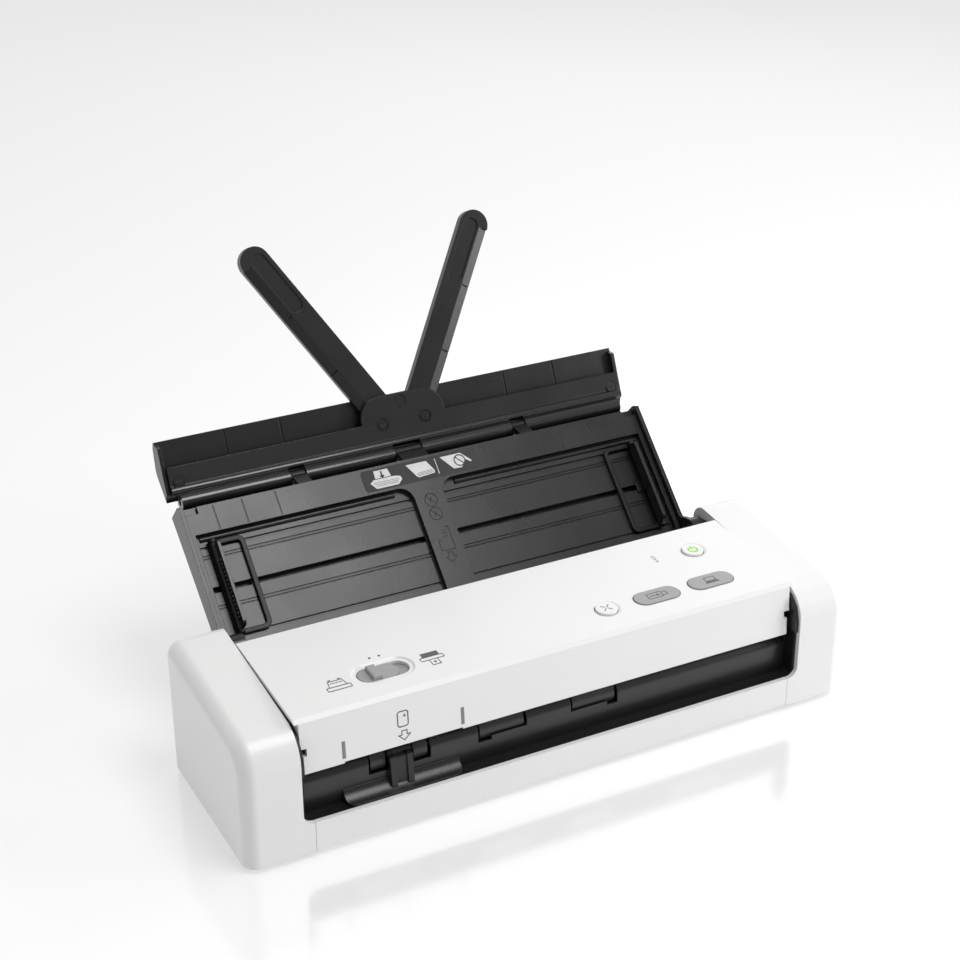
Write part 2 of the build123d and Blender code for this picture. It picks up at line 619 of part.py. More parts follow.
def upper_paper_guide():
    """Black underside of the front cover, with windows for the upper rollers."""
    half = PANEL_HALF - WALL - 0.3
    low = PATH_HEIGHT + 2.0
    outline = [
        (-36.6, low), (19.0, low), (25.6, 43.5), (25.6, 51.3), (24.0, 51.3), (24.0, 44.4), (18.2, low + THIN),
        (-33.0, low + THIN), (-33.0, low + 10.0), (-36.6, low + 10.0),
    ]
    body = prism(outline, -half, half)
    for low_x, high_x in top_eject_spans():
        body -= block((low_x, high_x), (-34.5, -24.5), (low - 1, low + THIN + 6))
    body -= block((-113.0, 113.0), (EJECT_AXIS[0] - 2.2, EJECT_AXIS[0] + 2.2), (low + 0.6, low + 11))
    for low_x, high_x in feed_spans():
        body -= block((low_x, high_x), (FEED_AXIS[0] - 4.5, FEED_AXIS[0] + 4.5), (low - 1, low + THIN + 1))
    body -= block((-112.5, 112.5), (FEED_AXIS[0] - 2.0, FEED_AXIS[0] + 2.0), (low + 0.6, low + THIN + 1))
    body -= block((-110.2, 110.2), (-19.2, -4.8), (low - 1, low + THIN + 1))
    body -= block((-15.5, 15.5), (14.0, 27.0), (low - 1, 47.5))
    body -= cover_pin_space()
    for side in (-1, 1):
        x = sorted((side * 114.0, side * half))
        lug = block(x, (-36.6, -32.8), (low + 0.5, 49.5))
        body += lug - bar(COVER_PIN_RADIUS + RUNNING, x[0] - 1, x[1] + 1, COVER_PIVOT)
    for axis, radius in ((EJECT_AXIS, EJECT_RADIUS), (FEED_AXIS, FEED_RADIUS)):
        centre = pinch_axis(axis, radius)
        for x in (-104.0, -55.0, 0.0, 55.0, 104.0):
            lug = block((x - 1.5, x + 1.5), (centre[0] - 3.5, centre[0] + 3.5), (low + 0.6, centre[1] + 3.0))
            body += lug
        body -= bar(PINCH_SHAFT + RUNNING, -113.0, 113.0, centre)
    return body


def separation_pad_holder():
    body = block((-14.5, 14.5), (15.0, 25.0), (41.0, 43.0))
    body += block((-15.5, -12.5), (15.0, 25.0), (43.0, 47.0))
    body += block((12.5, 15.5), (15.0, 25.0), (43.0, 47.0))
    body += block((-10.0, 10.0), (19.0, 21.0), (43.0, 44.5))
    return body - block((-4.5, 4.5), (18.0, 22.0), (43.0, 45.0))


def separation_pad():
    return block((-12.0, 12.0), (17.0, 24.5), (PICKUP_Z + PICKUP_RADIUS + NIP_GAP, 41.0))


def pad_spring():
    """Coil spring that presses the separation pad down."""
    wire = 0.3
    coil = Helix(pitch=1.9, height=SPRING_TOP - SPRING_SEAT - 2 * wire, radius=2.4)
    spring = sweep(Plane(origin=coil @ 0, z_dir=coil % 0) * Circle(wire), coil)
    return Pos(0, SPRING_Y, SPRING_SEAT + wire) * spring


def control_board():
    board = block((24.0, 112.0), (-28.0, 16.0), (57.2, 58.6))
    for spot in (POWER, STOP, USB_KEY, PC_KEY):
        board += block((spot[0] - 2.5, spot[0] + 2.5), (spot[1] - 2.5, spot[1] + 2.5), (58.6, 59.7))
    board += block((30.0, 44.0), (4.0, 14.0), (58.6, 60.4))
    return board + selector_board()


def selector_board():
    """Small board under the selector, tied to the key board by a flat cable."""
    board = block((-86.0, -64.0), (-26.0, -14.0), (57.2, 58.6))
    switch = block((-80.0, -70.0), (-22.5, -17.0), (58.6, 59.9))
    cable = block((-64.0, 24.0), (-22.0, -18.0), (57.6, 58.0))
    return board + switch + cable


def round_key(spot):
    key = Cylinder(ROUND_KEY, 3.2, align=(Align.CENTER, Align.CENTER, Align.MAX))
    key = fillet(key.edges().sort_by(Axis.Z)[-1], 0.4)
    key += Pos(0, 0, -3.2) * Cylinder(ROUND_KEY + 1.2, 0.8, align=(Align.CENTER, Align.CENTER, Align.MAX))
    return panel_place(*spot) * Pos(0, 0, KEY_PROUD) * key


def long_key(spot):
    key = extrude(Plane.XY.offset(-3.2) * stadium(*LONG_KEY), 3.2)
    key = fillet(key.edges().group_by(Axis.Z)[-1], 0.4)
    key += extrude(Plane.XY.offset(-4.0) * stadium(LONG_KEY[0] + 2.4, LONG_KEY[1] + 2.4), 0.8)
    return panel_place(*spot) * Pos(0, 0, KEY_PROUD) * key


def mode_selector():
    """Sliding selector: hidden shutter, flat plate and a raised ridge for the finger."""
    long = SELECTOR_WINDOW[0] + SELECTOR_TRAVEL + 0.8
    body = extrude(Plane.XY.offset(-3.4) * Rectangle(long, SELECTOR_PLATE[1] + 3.0), 1.0)
    body += extrude(Plane.XY.offset(-2.4) * stadium(*SELECTOR_PLATE), 1.6)
    ridge = Pos(-2.0, 0, 0.0) * Box(4.2, 9.2, 2.6)
    ridge = fillet(ridge.edges().group_by(Axis.Z)[-1], 0.7)
    return panel_place(SELECTOR_X, SELECTOR[1]) * (body + ridge)


# ---------------------------------------------------------------- lid
def lid_profile(inset):
    """Side view of the lid's back wall in the lid's own frame."""
    end = FLAP_HINGE[0] - 5.2
    return [(3.0 + inset, BAND_V), (3.0 + inset, -19.5 + inset), (14.0, -20.3 + inset), (34.0, -21.6 + inset),
            (60.0, -23.7 + inset), (end, -24.9 + inset), (end, BAND_V)]


def lid_outer_shell():
    """Black outer lid with its side cheeks and hinge knuckles."""
    wall = 1.6
    cheek = 1.9
    body = prism(lid_profile(0), -LID_HALF, LID_HALF)
    body -= prism(lid_profile(wall), -LID_HALF + cheek, LID_HALF - cheek)
    for side in (-1, 1):
        x = sorted((side * LID_HALF, side * (LID_HALF - cheek)))
        rail = [
            (3.6, -17.0), (-3.4, -8.0), (-5.4, -1.5), (0.0, 1.5), (5.4, -1.5), (7.4, -4.2), (8.7, -6.2),
            (9.6, -8.0), (10.1, -9.3), (11.2, -9.9), (13.4, RIM_V), (TRAY_END, RIM_V),
            (TRAY_END + 1.1, BAND_V - 1), (TRAY_END + 1.1, -17.0),
        ]
        wide = sorted((side * LID_HALF, side * (LID_HALF - 6.0)))
        body += prism(rail, x[0], x[1])
        body += bar(KNUCKLE_RADIUS, wide[0], wide[1], (0, 0))
        body -= bar(LID_PIN_RADIUS + RUNNING, wide[0] - 1, wide[1] + 1, (0, 0))
    return LID * body


def tray_window(side):
    """Recess in the tray on one side of the spine."""
    x = (SPINE[1], 117.6) if side > 0 else (-117.6, SPINE[0])
    outline = make_face(
        Polyline((x[0], 1.0), (x[1], 1.0), (x[1], BAND_START), (x[0], BAND_START), close=True)
    )
    corners = outline.vertices().sort_by(Axis.Y)[-2:].sort_by(Axis.X)
    outline = fillet(corners[0] if side > 0 else corners[1], 7.0)
    return upright(outline, FLOOR_V, 0.0)


def lid_inner_tray():
    """Dark inner panel: band, spine, two recessed windows with guide slots."""
    half = LID_HALF - 2.1
    low = FLOOR_V - THIN
    body = block((-half, half), (5.0, TRAY_END), (low, BAND_V))
    for side in (-1, 1):
        body -= tray_window(side)
        x = (SPINE[1] + 0.4, 116.6) if side > 0 else (-116.6, SPINE[0] - 0.4)
        body -= block(x, (SLOT_U - SLOT_HALF, SLOT_U + SLOT_HALF), (low - 1, 0))
        for u in (47.4, 48.8, 23.2, 24.6):
            body -= block(x, (u - 0.25, u + 0.25), (FLOOR_V - 0.4, 0))
        for u in (52.6, 9.6):
            body -= block(x, (u - 0.6, u + 0.6), (FLOOR_V - 1.0, 0))
        roll = Pos(0, BAND_START - 1.7, FLOOR_V) * Rot(0, 90, 0) * Cylinder(1.3, x[1] - x[0] - 9)
        body += Pos((x[0] + x[1]) / 2 + side * 3.4, 0, 0) * roll
        for size_mark in (105.5, 91.5, 75.0):
            tick = (side * size_mark - 0.25, side * size_mark + 0.25)
            body -= block(tick, (BAND_START + 0.6, TRAY_END - 1.0), (BAND_V - 0.3, 0))
    body -= block((-106.0, 106.0), (BAND_START + 2.0, TRAY_END - 2.0), (low - 1, BAND_V - THIN))
    for low_x, high_x in TAB_SPANS:
        body += flap_tab(low_x + 0.5, high_x - 0.5)
    for side in (-1, 1):
        x = sorted((side * 113.0, side * (half + 1)))
        body -= block(x, (TRAY_END - 3.5, TRAY_END + 1), (BAND_V - 2.0, 0))
    body -= peg(1.5 + RUNNING, 0.0, SLOT_U, low - 1, -14.5)
    return LID * body


def flap_tab(x0, x1):
    """Lid tab that reaches out to the flap's hinge rod."""
    axis = FLAP_HINGE
    arm = prism(
        [(TRAY_END - 1.0, BAND_V - THIN), (TRAY_END - 1.0, BAND_V), (TRAY_END, BAND_V),
         (axis[0], axis[1] + 3.4), (axis[0], axis[1] + 0.5), (TRAY_END, FLOOR_V - 1.0)],
        x0, x1,
    )
    eye = bar(3.4, x0, x1, axis)
    return arm + eye - bar(FLAP_ROD_RADIUS, x0 - 1, x1 + 1, axis)


def guide_pinion():
    """Pinion that ties the two document guide racks together."""
    ring = make_face(Polyline(*tooth_ring(PINION_TEETH, 90.0), close=True))
    disc = Pos(0, SLOT_U, 0) * upright(ring, RACK_BOTTOM, RACK_TOP)
    return LID * (disc + peg(1.5, 0.0, SLOT_U, RACK_TOP, -14.6))


def rack(side):
    """Toothed bar of one document guide, under the tray floor."""
    pitch = pi * MODULE
    near = PINION_R + 1.1
    far = near + 2.2
    tip = PINION_R - 0.85
    start = -GUIDE_X - 3.0
    outline = [(start, far), (start, near)]
    for k in range(-34, 3):
        middle = (k + 0.5) * pitch
        outline += [(middle - 0.95, near), (middle - 0.3, tip), (middle + 0.3, tip), (middle + 0.95, near)]
    outline += [(RACK_END, near), (RACK_END, far)]
    flat = upright(make_face(Polyline(*outline, close=True)), RACK_BOTTOM, RACK_TOP)
    turn = 0 if side < 0 else 180
    return Pos(0, SLOT_U, 0) * Rot(0, 0, turn) * flat


def guide_carriage(side):
    """Sliding carriage: flat loop, foot through the slot and rack below."""
    sign = -1 if side < 0 else 1
    outer = GUIDE_X + 3.4
    inner = GUIDE_X - GUIDE_LOOP + 1.0
    low = FLOOR_V + 0.2
    high = low + 1.8
    ring = Pos((outer + inner) / 2, (GUIDE_START + GUIDE_END) / 2) * RectangleRounded(
        outer - inner, GUIDE_END - GUIDE_START, 3.5)
    hole = Pos((outer + inner) / 2, (GUIDE_START + GUIDE_END) / 2) * RectangleRounded(
        outer - inner - 4.4, GUIDE_END - GUIDE_START - 4.4, 1.6)
    loop = upright(ring - hole, low, high)
    bridge = block((GUIDE_X - 3.0, outer - 0.5), (SLOT_U - 3.0, SLOT_U + 3.0), (low, low + 0.7))
    foot = block((GUIDE_X - 2.0, GUIDE_X + 2.5), (SLOT_U - SLOT_HALF + 0.2, SLOT_U + SLOT_HALF - 0.2),
                 (RACK_BOTTOM, low + 0.5))
    reach = (SLOT_U - 1.0, SLOT_U + PINION_R + 2.0) if sign < 0 else (SLOT_U - PINION_R - 2.0, SLOT_U + 1.0)
    link = block((GUIDE_X - 2.0, GUIDE_X + 2.5), reach, (RACK_BOTTOM, RACK_TOP))
    body = loop + bridge + foot + link
    if sign < 0:
        body = mirrored(body)
    return body + rack(side)


def guide_hinge(side):
    """Fold axis of a guide plate: (x, height) in the lid's frame."""
    return (side * (GUIDE_X + 1.6), FLOOR_V + 3.75)


def carriage_with_ears(side):
    body = guide_carriage(side)
    x, v = guide_hinge(side)
    for u in (GUIDE_START, GUIDE_END - 1.8):
        ear = block((x - 1.6, x + 1.6), (u, u + 1.8), (FLOOR_V + 1.0, v))
        ear += Pos(x, u + 0.9, v) * Rot(90, 0, 0) * Cylinder(1.6, 1.8)
        body += ear
    for u0, u1 in ((GUIDE_START, GUIDE_START + 3.2), (GUIDE_END - 3.2, GUIDE_END)):
        body += Pos(x, (u0 + u1) / 2, v) * Rot(90, 0, 0) * Cylinder(GUIDE_PIN_RADIUS, u1 - u0)
    return LID * body


def guide_plate(side):
    """Standing plate of a document guide, ribbed on its outer face."""
    x, v = guide_hinge(side)
    u0, u1 = GUIDE_START + 2.0, GUIDE_END - 2.0
    top = FLOOR_V + GUIDE_HEIGHT
    face_in = side * GUIDE_X
    thick = sorted((face_in, face_in + side * 1.4))
    body = block(thick, (u0, u1), (v, top))
    spine = Pos(x, (u0 + u1) / 2, v) * Rot(90, 0, 0) * Cylinder(1.5, u1 - u0)
    body += spine
    corner = [e for e in body.edges().filter_by(Axis.X) if e.center().Z > top - 0.01]
    body = fillet(corner, 2.0)
    ribs = sorted((face_in + side * 1.4, face_in + side * 2.0))
    for k in range(15):
        u = u0 + 4.0 + 2.0 * k
        body += block(ribs, (u, u + 0.9), (v + 1.6, top - 2.0))
    for u in (u0 - 0.5, u1 - 1.5):
        body -= Pos(x, u + 1.0, v) * Rot(90, 0, 0) * Cylinder(GUIDE_PIN_RADIUS + RUNNING, 3.0)
    return LID * body


# ---------------------------------------------------------------- flap
def flap_outer_shell():
    """Black outer flap, open to the front where the arms are stowed."""
    half = LID_HALF
    outside = [(0.5, -4.4), (14.0, -11.4), (16.5, -11.7), (26.8, -9.4), (FLAP_TOP, -7.2), (FLAP_TOP, -5.7),
               (4.6, -5.7), (3.4, -1.6), (1.0, -1.6)]
    body = prism(outside, -half, half)
    hollow = [(4.6, -6.9), (14.2, -9.7), (16.4, -10.0), (25.8, -8.0), (27.2, -6.9)]
    body -= prism(hollow, -half + 1.8, half - 1.8)
    for side in (-1, 1):
        x = sorted((side * half, side * (half - 1.8)))
        cheek = [(3.4, -1.6), (4.6, -5.8), (FLAP_TOP - 1.5, -5.8), (FLAP_TOP - 3.0, -1.8), (10.0, -1.8)]
        body += prism(cheek, x[0], x[1])
        for k in (0, 1):
            x_rib = side * (60.0 + 28.0 * k)
            body -= block((x_rib - 0.3, x_rib + 0.3), (FLAP_STEP, FLAP_TOP + 1), (-6.1, 0))
    for x, a in arm_screw_spots():
        body += peg(3.2, x, a, -6.0, ARM_BACK - 0.1)
        body -= peg(1.1, x, a, -9.0, 0)
    for x in (-FLAP_SCREW_X, FLAP_SCREW_X):
        body += peg(2.0, x, FLAP_SCREW_A, -6.0, -1.6)
        body -= peg(1.15, x, FLAP_SCREW_A, -8.0, 0)
    body -= bar(FLAP_BARREL + 0.6, -half - 1, half + 1, (0, 0))
    return FLAP * body


def arm_screw_spots():
    return [(-ARM_PIVOT[0], ARM_PIVOT[1]), (ARM_PIVOT[0], ARM_PIVOT[1]), (0.0, 25.3)]


def flap_front_plate():
    """Front plate of the flap with the hinge barrel, glossy ridge and centre boss."""
    half = LID_HALF - 2.0
    plate = prism(
        [(3.0, -1.5), (3.0, 0.0), (9.0, 0.0), (FLAP_STEP, 1.2), (FLAP_STEP, -0.6), (7.3, -0.85), (6.6, -1.5)],
        -half, half,
    )
    ridge = bar(2.3, -half, half, (5.6, -0.4)) - block((-half - 1, half + 1), (0, 12), (-6.0, -1.5))
    ridge -= block((-half - 1, half + 1), (7.2, 12.0), (-6.0, -0.9))
    base = FLAP_STEP - 0.4
    boss = Pos(0, (base + FLAP_TOP) / 2) * Rectangle(2 * BOSS_HALF, FLAP_TOP - base)
    boss = fillet(boss.vertices().group_by(Axis.Y)[-1], BOSS_ROUND)
    body = plate + ridge + upright(boss, -0.6, 1.2)
    barrel = bar(FLAP_BARREL, -half + 3.0, half - 3.0, (0, 0))
    neck = block((-half + 3.0, half - 3.0), (0.0, 3.6), (-1.5, 1.5))
    body += barrel + neck
    for low_x, high_x in TAB_SPANS:
        body -= block((low_x, high_x), (-6.0, 5.2), (-6.0, 6.0))
    body -= bar(FLAP_ROD_RADIUS + RUNNING, -half, half, (0, 0))
    for x, a in arm_screw_spots():
        body -= peg(1.2, x, a, -2.0, 2.0)
        body -= peg(ARM_SCREW_RADIUS + 0.2, x, a, 0.2, 2.0)
    for x in (-FLAP_SCREW_X, FLAP_SCREW_X):
        body -= peg(1.2, x, FLAP_SCREW_A, -2.5, 2.0)
        body -= peg(2.6, x, FLAP_SCREW_A, -0.4, 2.0)
    for x, a in arm_screw_spots():
        ring = peg(2.4, x, a, ARM_BACK + 0.05, -0.6) - peg(1.2, x, a, -7.0, 1.0)
        body += ring
    return FLAP * body


def capped_screw(radius, shank, x, a, seat, proud, depth):
    screw = peg(radius, x, a, seat, proud) + peg(shank, x, a, depth, seat)
    slot = radius * 0.55
    return screw - block((x - slot, x + slot), (a - 0.2, a + 0.2), (proud - 0.25, proud + 1))


def flap_screws():
    """Three screws in the centre boss, two of them the pivots of the arms, and one at each end."""
    boss = [capped_screw(ARM_SCREW_RADIUS, 1.05, x, a, 0.25, 1.1, -8.6) for x, a in arm_screw_spots()]
    ends = [capped_screw(2.5, 1.1, x, FLAP_SCREW_A, -0.35, 0.35, -7.5) for x in (-FLAP_SCREW_X, FLAP_SCREW_X)]
    return FLAP * joined(boss + ends)


def support_arm(side):
    """Fold-out paper support arm, drawn upright about its pivot and then splayed."""
    inward = -side
    centre = inward * ARM_OFFSET
    half = ARM_WIDTH / 2
    strip = Pos(centre, ARM_REACH / 2) * Rectangle(ARM_WIDTH, ARM_REACH)
    tip = Pos(centre, ARM_REACH) * Circle(half)
    eye = Circle(8.0) & (Pos(0, -4.0) * Rectangle(20.0, 8.02))
    outline = strip + tip + eye
    body = upright(outline, ARM_BACK, ARM_FRONT)
    relief = Pos(centre + inward * 1.6, ARM_REACH - 14.0) * Rot(0, 0, 90) * SlotOverall(34.0, 7.6)
    body -= upright(relief, ARM_FRONT - 0.7, 1.0)
    edge_x = centre - inward * half
    inner_x = edge_x + inward * 4.4
    wedge = Polyline((edge_x, ARM_FRONT), (inner_x, ARM_FRONT), (edge_x, ARM_FRONT - 1.5), close=True)
    body -= extrude(Plane.XZ.offset(-ARM_REACH) * make_face(wedge), ARM_REACH - 2.0)
    for y in (34.0, 68.0):
        tick = sorted((edge_x, edge_x + inward * 4.0))
        body -= block(tick, (y - 0.25, y + 0.25), (ARM_FRONT - 2.0, 0))
    body -= peg(2.4 + RUNNING, 0, 0, ARM_BACK - 1, 0)
    return FLAP * Pos(side * ARM_PIVOT[0], ARM_PIVOT[1], 0) * Rot(0, 0, -side * ARM_SPLAY) * body


def hinge_pins():
    """Steel pins of the lid and of the front cover, a pair each."""
    pins = []
    for radius, start, axis in ((LID_PIN_RADIUS, 117.0, LID_HINGE), (COVER_PIN_RADIUS, 114.0, COVER_PIVOT)):
        for side in (-1, 1):
            x = sorted((side * start, side * (INNER + WALL)))
            pins.append(bar(radius, x[0], x[1], axis))
    return joined(pins)


def flap_hinge_rod():
    return LID * bar(FLAP_ROD_RADIUS, -LID_HALF + 6.0, LID_HALF - 6.0, FLAP_HINGE)


# ---------------------------------------------------------------- assembly
def build_parts():
    right = right_side_cover()
    frame = side_frame()
    hub, tyre = pickup_roller()
    parts = {
        "bottom_cover": bottom_cover(),
        "right_side_cover": right,
        "left_side_cover": mirrored(right),
        "rear_cover": rear_cover(),
        "rubber_feet": rubber_feet(),
        "case_screws": case_screws(),
        "exit_liner": exit_liner(),
        "lower_paper_guide": lower_paper_guide(),
        "feed_chute": feed_chute(),
        "right_side_frame": frame,
        "left_side_frame": mirrored(frame),
        "card_guide": card_guide(),
        "lower_scan_module": scan_module(1),
        "lower_scan_glass": scan_glass(1),
        "main_board": main_board(),
        "usb_sockets": joined([socket(-95.4, -83.1, 13.6, 18.0), socket(-71.4, -57.2, 13.6, 20.8)]),
        "drive_motor": drive_motor(),
        "gear_posts": gear_posts(),
        "hinge_pins": hinge_pins(),
        "eject_shaft": roller_shaft(EJECT_AXIS),
        "eject_rollers": roller_tubes(EJECT_AXIS, EJECT_RADIUS, eject_spans()),
        "eject_gear": gear_bar(ROLLER_TEETH, EJECT_AXIS, EJECT_PHASE, SHAFT_RADIUS),
        "feed_shaft": roller_shaft(FEED_AXIS),
        "feed_rollers": roller_tubes(FEED_AXIS, FEED_RADIUS, feed_spans()),
        "feed_gear": gear_bar(ROLLER_TEETH, FEED_AXIS, FEED_PHASE, SHAFT_RADIUS),
        "pickup_shaft": roller_shaft(PICKUP_AXIS),
        "pickup_hub": hub,
        "pickup_tyre": tyre,
        "pickup_gear": gear_bar(ROLLER_TEETH, PICKUP_AXIS, PICKUP_PHASE, SHAFT_RADIUS),
        "front_idler_gear": gear_bar(FRONT_IDLER_TEETH, FRONT_IDLER, FRONT_IDLER_PHASE, 1.5 + RUNNING),
        "rear_idler_gear": gear_bar(REAR_IDLER_TEETH, REAR_IDLER, REAR_IDLER_PHASE, 1.5 + RUNNING),
        "motor_pinion": gear_bar(PINION_TEETH, MOTOR_AXIS, PINION_PHASE, 0.01)
        + bar(1.0, GEAR_OUT - 1.0, GEAR_OUT + 8.0, MOTOR_AXIS),
        "top_panel": top_panel(),
        "upper_paper_guide": upper_paper_guide(),
        "upper_scan_module": scan_module(-1),
        "upper_scan_glass": scan_glass(-1),
        "separation_pad": separation_pad(),
        "separation_pad_holder": separation_pad_holder(),
        "separation_spring": pad_spring(),
        "control_board": control_board(),
        "upper_eject_rollers": pinch_rollers(EJECT_AXIS, EJECT_RADIUS, top_eject_spans()),
        "upper_feed_rollers": pinch_rollers(FEED_AXIS, FEED_RADIUS, feed_spans()),
        "power_button": round_key(POWER),
        "stop_button": round_key(STOP),
        "usb_button": long_key(USB_KEY),
        "pc_button": long_key(PC_KEY),
        "mode_selector": mode_selector(),
        "lid_outer_shell": lid_outer_shell(),
        "lid_inner_tray": lid_inner_tray(),
        "guide_pinion": guide_pinion(),
        "flap_hinge_rod": flap_hinge_rod(),
        "left_guide_carriage": carriage_with_ears(-1),
        "right_guide_carriage": carriage_with_ears(1),
        "left_guide_plate": guide_plate(-1),
        "right_guide_plate": guide_plate(1),
        "flap_outer_shell": flap_outer_shell(),
        "flap_front_plate": flap_front_plate(),
        "flap_screws": flap_screws(),
        "left_support_arm": support_arm(-1),
        "right_support_arm": support_arm(1),
    }
    return parts


def origin_shift(parts):
    """Move that puts the bounding box's bottom centre on the origin."""
    boxes = [shape.bounding_box() for shape in parts.values()]
    low_y = min(box.min.Y for box in boxes)
    high_y = max(box.max.Y for box in boxes)
    return Pos(0, -(low_y + high_y) / 2, -min(box.min.Z for box in boxes))


def main():
    os.makedirs("parts", exist_ok=True)
    parts = build_parts()
    shift = origin_shift(parts)
    for name, shape in parts.items():
        export_step(shift * shape, f"parts/{name}.step")


if __name__ == "__main__":
    main()
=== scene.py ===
import json
import math

import bmesh
import bpy
from mathutils import Matrix, Quaternion, Vector


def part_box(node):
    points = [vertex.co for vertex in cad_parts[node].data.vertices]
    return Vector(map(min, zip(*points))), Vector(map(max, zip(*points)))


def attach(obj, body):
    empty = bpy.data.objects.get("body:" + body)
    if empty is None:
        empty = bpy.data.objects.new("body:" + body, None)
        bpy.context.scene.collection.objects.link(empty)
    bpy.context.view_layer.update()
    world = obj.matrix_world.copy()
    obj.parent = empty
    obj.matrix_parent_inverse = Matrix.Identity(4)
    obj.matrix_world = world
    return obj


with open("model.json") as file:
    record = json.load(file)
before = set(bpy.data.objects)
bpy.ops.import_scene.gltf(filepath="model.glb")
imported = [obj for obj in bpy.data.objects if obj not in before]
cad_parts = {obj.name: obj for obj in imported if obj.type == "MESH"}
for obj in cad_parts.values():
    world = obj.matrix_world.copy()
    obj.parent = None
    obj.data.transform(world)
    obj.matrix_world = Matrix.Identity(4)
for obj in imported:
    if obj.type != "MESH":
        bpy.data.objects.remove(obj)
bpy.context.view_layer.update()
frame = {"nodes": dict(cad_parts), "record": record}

# Local drawings are in millimetres, everything that reaches the scene is in metres.
MM = 0.001

# Camera: viewing direction, place relative to the middle of the side covers, and lens.
VIEW_AZIMUTH = 27.47
VIEW_ELEVATION = 26.29
VIEW_ROLL = -0.21
CAMERA_OFFSET = Vector((-0.3592, -0.6560, 0.4975))
LENS = 72.3
SENSOR = 36.0
CLIP_START = 0.01

# Softboxes: name, place, aim, width and height in metres, and power in watts.
SOFTBOXES = (
    ("key_above", (0.15, -0.42, 1.0), (0.05, 0, 0.05), 0.42, 0.55, 5.0),
    ("right_above", (0.85, -0.05, 0.62), (0.12, 0, 0.05), 0.35, 0.35, 1.9),
    ("right_front", (1.15, -0.75, 0.42), (0.05, 0, 0.05), 0.5, 0.5, 6.4),
    ("back_rim", (0.75, 1.0, 0.62), (0, 0, 0.08), 0.7, 0.4, 1.2),
)

# The room's brightness in front and behind, and where along Y it turns from one to the other.
ROOM_FRONT = 0.34
ROOM_BACK = 1.0
ROOM_TURN = (-0.25, 0.55)

# Floor: half its side in metres, and its finish.
FLOOR_HALF = 14.0
FLOOR_MATT = 0.72
FLOOR_LIFT = 0.50
FLOOR_GLOSS = 0.36
FLOOR_ROUGHNESS = 0.14

# Shading of every moulded part.
COAT_ROUGHNESS = 0.12
EDGE_SAMPLES = 4

# Slopes of the surfaces that carry print, in millimetres and degrees.
PANEL_SLOPE = 2.9 / 64.3
PANEL_BACK_Y = 26.3
FRONT_LIP = (-40.0, 38.2)
FRONT_CREASE = (-38.0, 63.5)
LID_TILT = 43.5
FLAP_TILT = 22.5
BAND_V = -12.7

# Tops of the keys over the panel, and of the flap's boss and end screws over its hinge axis.
KEY_TOP = 0.5
BOSS_TOP = 1.2
END_PLATE = 0.17

# Screws on the flap: across it, and out from its hinge.
BOSS_SCREWS = ((-11.35, 15.65), (11.35, 15.65), (0.0, 25.3))
END_SCREWS = ((-115.6, 10.0), (115.6, 10.0))

# The loading label and the moulded marks on the tray: across it, and up from its hinge.
LABEL_SPOT = (-1.5, 65.3)
LABEL_STRETCH = (1.06, 1.06)
SPINE_SPOT = (-2.0, 44.5)

# Thickness of print and of the painted shade lines drawn for moulded marks and screw gaps.
PRINT = 0.05
SUNK = 0.01

side_low, side_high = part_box("right_side_cover")
panel_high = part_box("top_panel")[1]
MID_Y = (side_low.y + side_high.y) / 2
joints = {joint["name"]: joint for joint in frame["record"]["behaviour"]["joints"]}


# ---------------------------------------------------------------- camera, light and stage
def aim(azimuth, elevation):
    """Quaternion of an object that looks along the given direction."""
    az, el = math.radians(azimuth), math.radians(elevation)
    direction = Vector((math.sin(az) * math.cos(el), math.cos(az) * math.cos(el), -math.sin(el)))
    return direction.to_track_quat("-Z", "Y")


def add_camera():
    data = bpy.data.cameras.new("camera")
    data.lens = LENS
    data.sensor_width = SENSOR
    data.clip_start = CLIP_START
    camera = bpy.data.objects.new("camera", data)
    bpy.context.scene.collection.objects.link(camera)
    camera.location = CAMERA_OFFSET + Vector((0, MID_Y, 0))
    camera.rotation_mode = "QUATERNION"
    roll = Quaternion((0, 0, 1), math.radians(VIEW_ROLL))
    camera.rotation_quaternion = aim(VIEW_AZIMUTH, VIEW_ELEVATION) @ roll
    bpy.context.scene.camera = camera


def softbox(name, place, target, width, height, power):
    data = bpy.data.lights.new(name, "AREA")
    data.shape = "RECTANGLE"
    data.size = width
    data.size_y = height
    data.energy = power
    light = bpy.data.objects.new(name, data)
    bpy.context.scene.collection.objects.link(light)
    light.location = place
    light.rotation_euler = (Vector(target) - Vector(place)).to_track_quat("-Z", "Y").to_euler()


def add_lights():
    for row in SOFTBOXES:
        softbox(*row)


def set_range(span, start, end, low, high):
    """Sets a Map Range node to turn start..end into low..high."""
    for socket, number in (("From Min", start), ("From Max", end), ("To Min", low), ("To Max", high)):
        span.inputs[socket].default_value = number


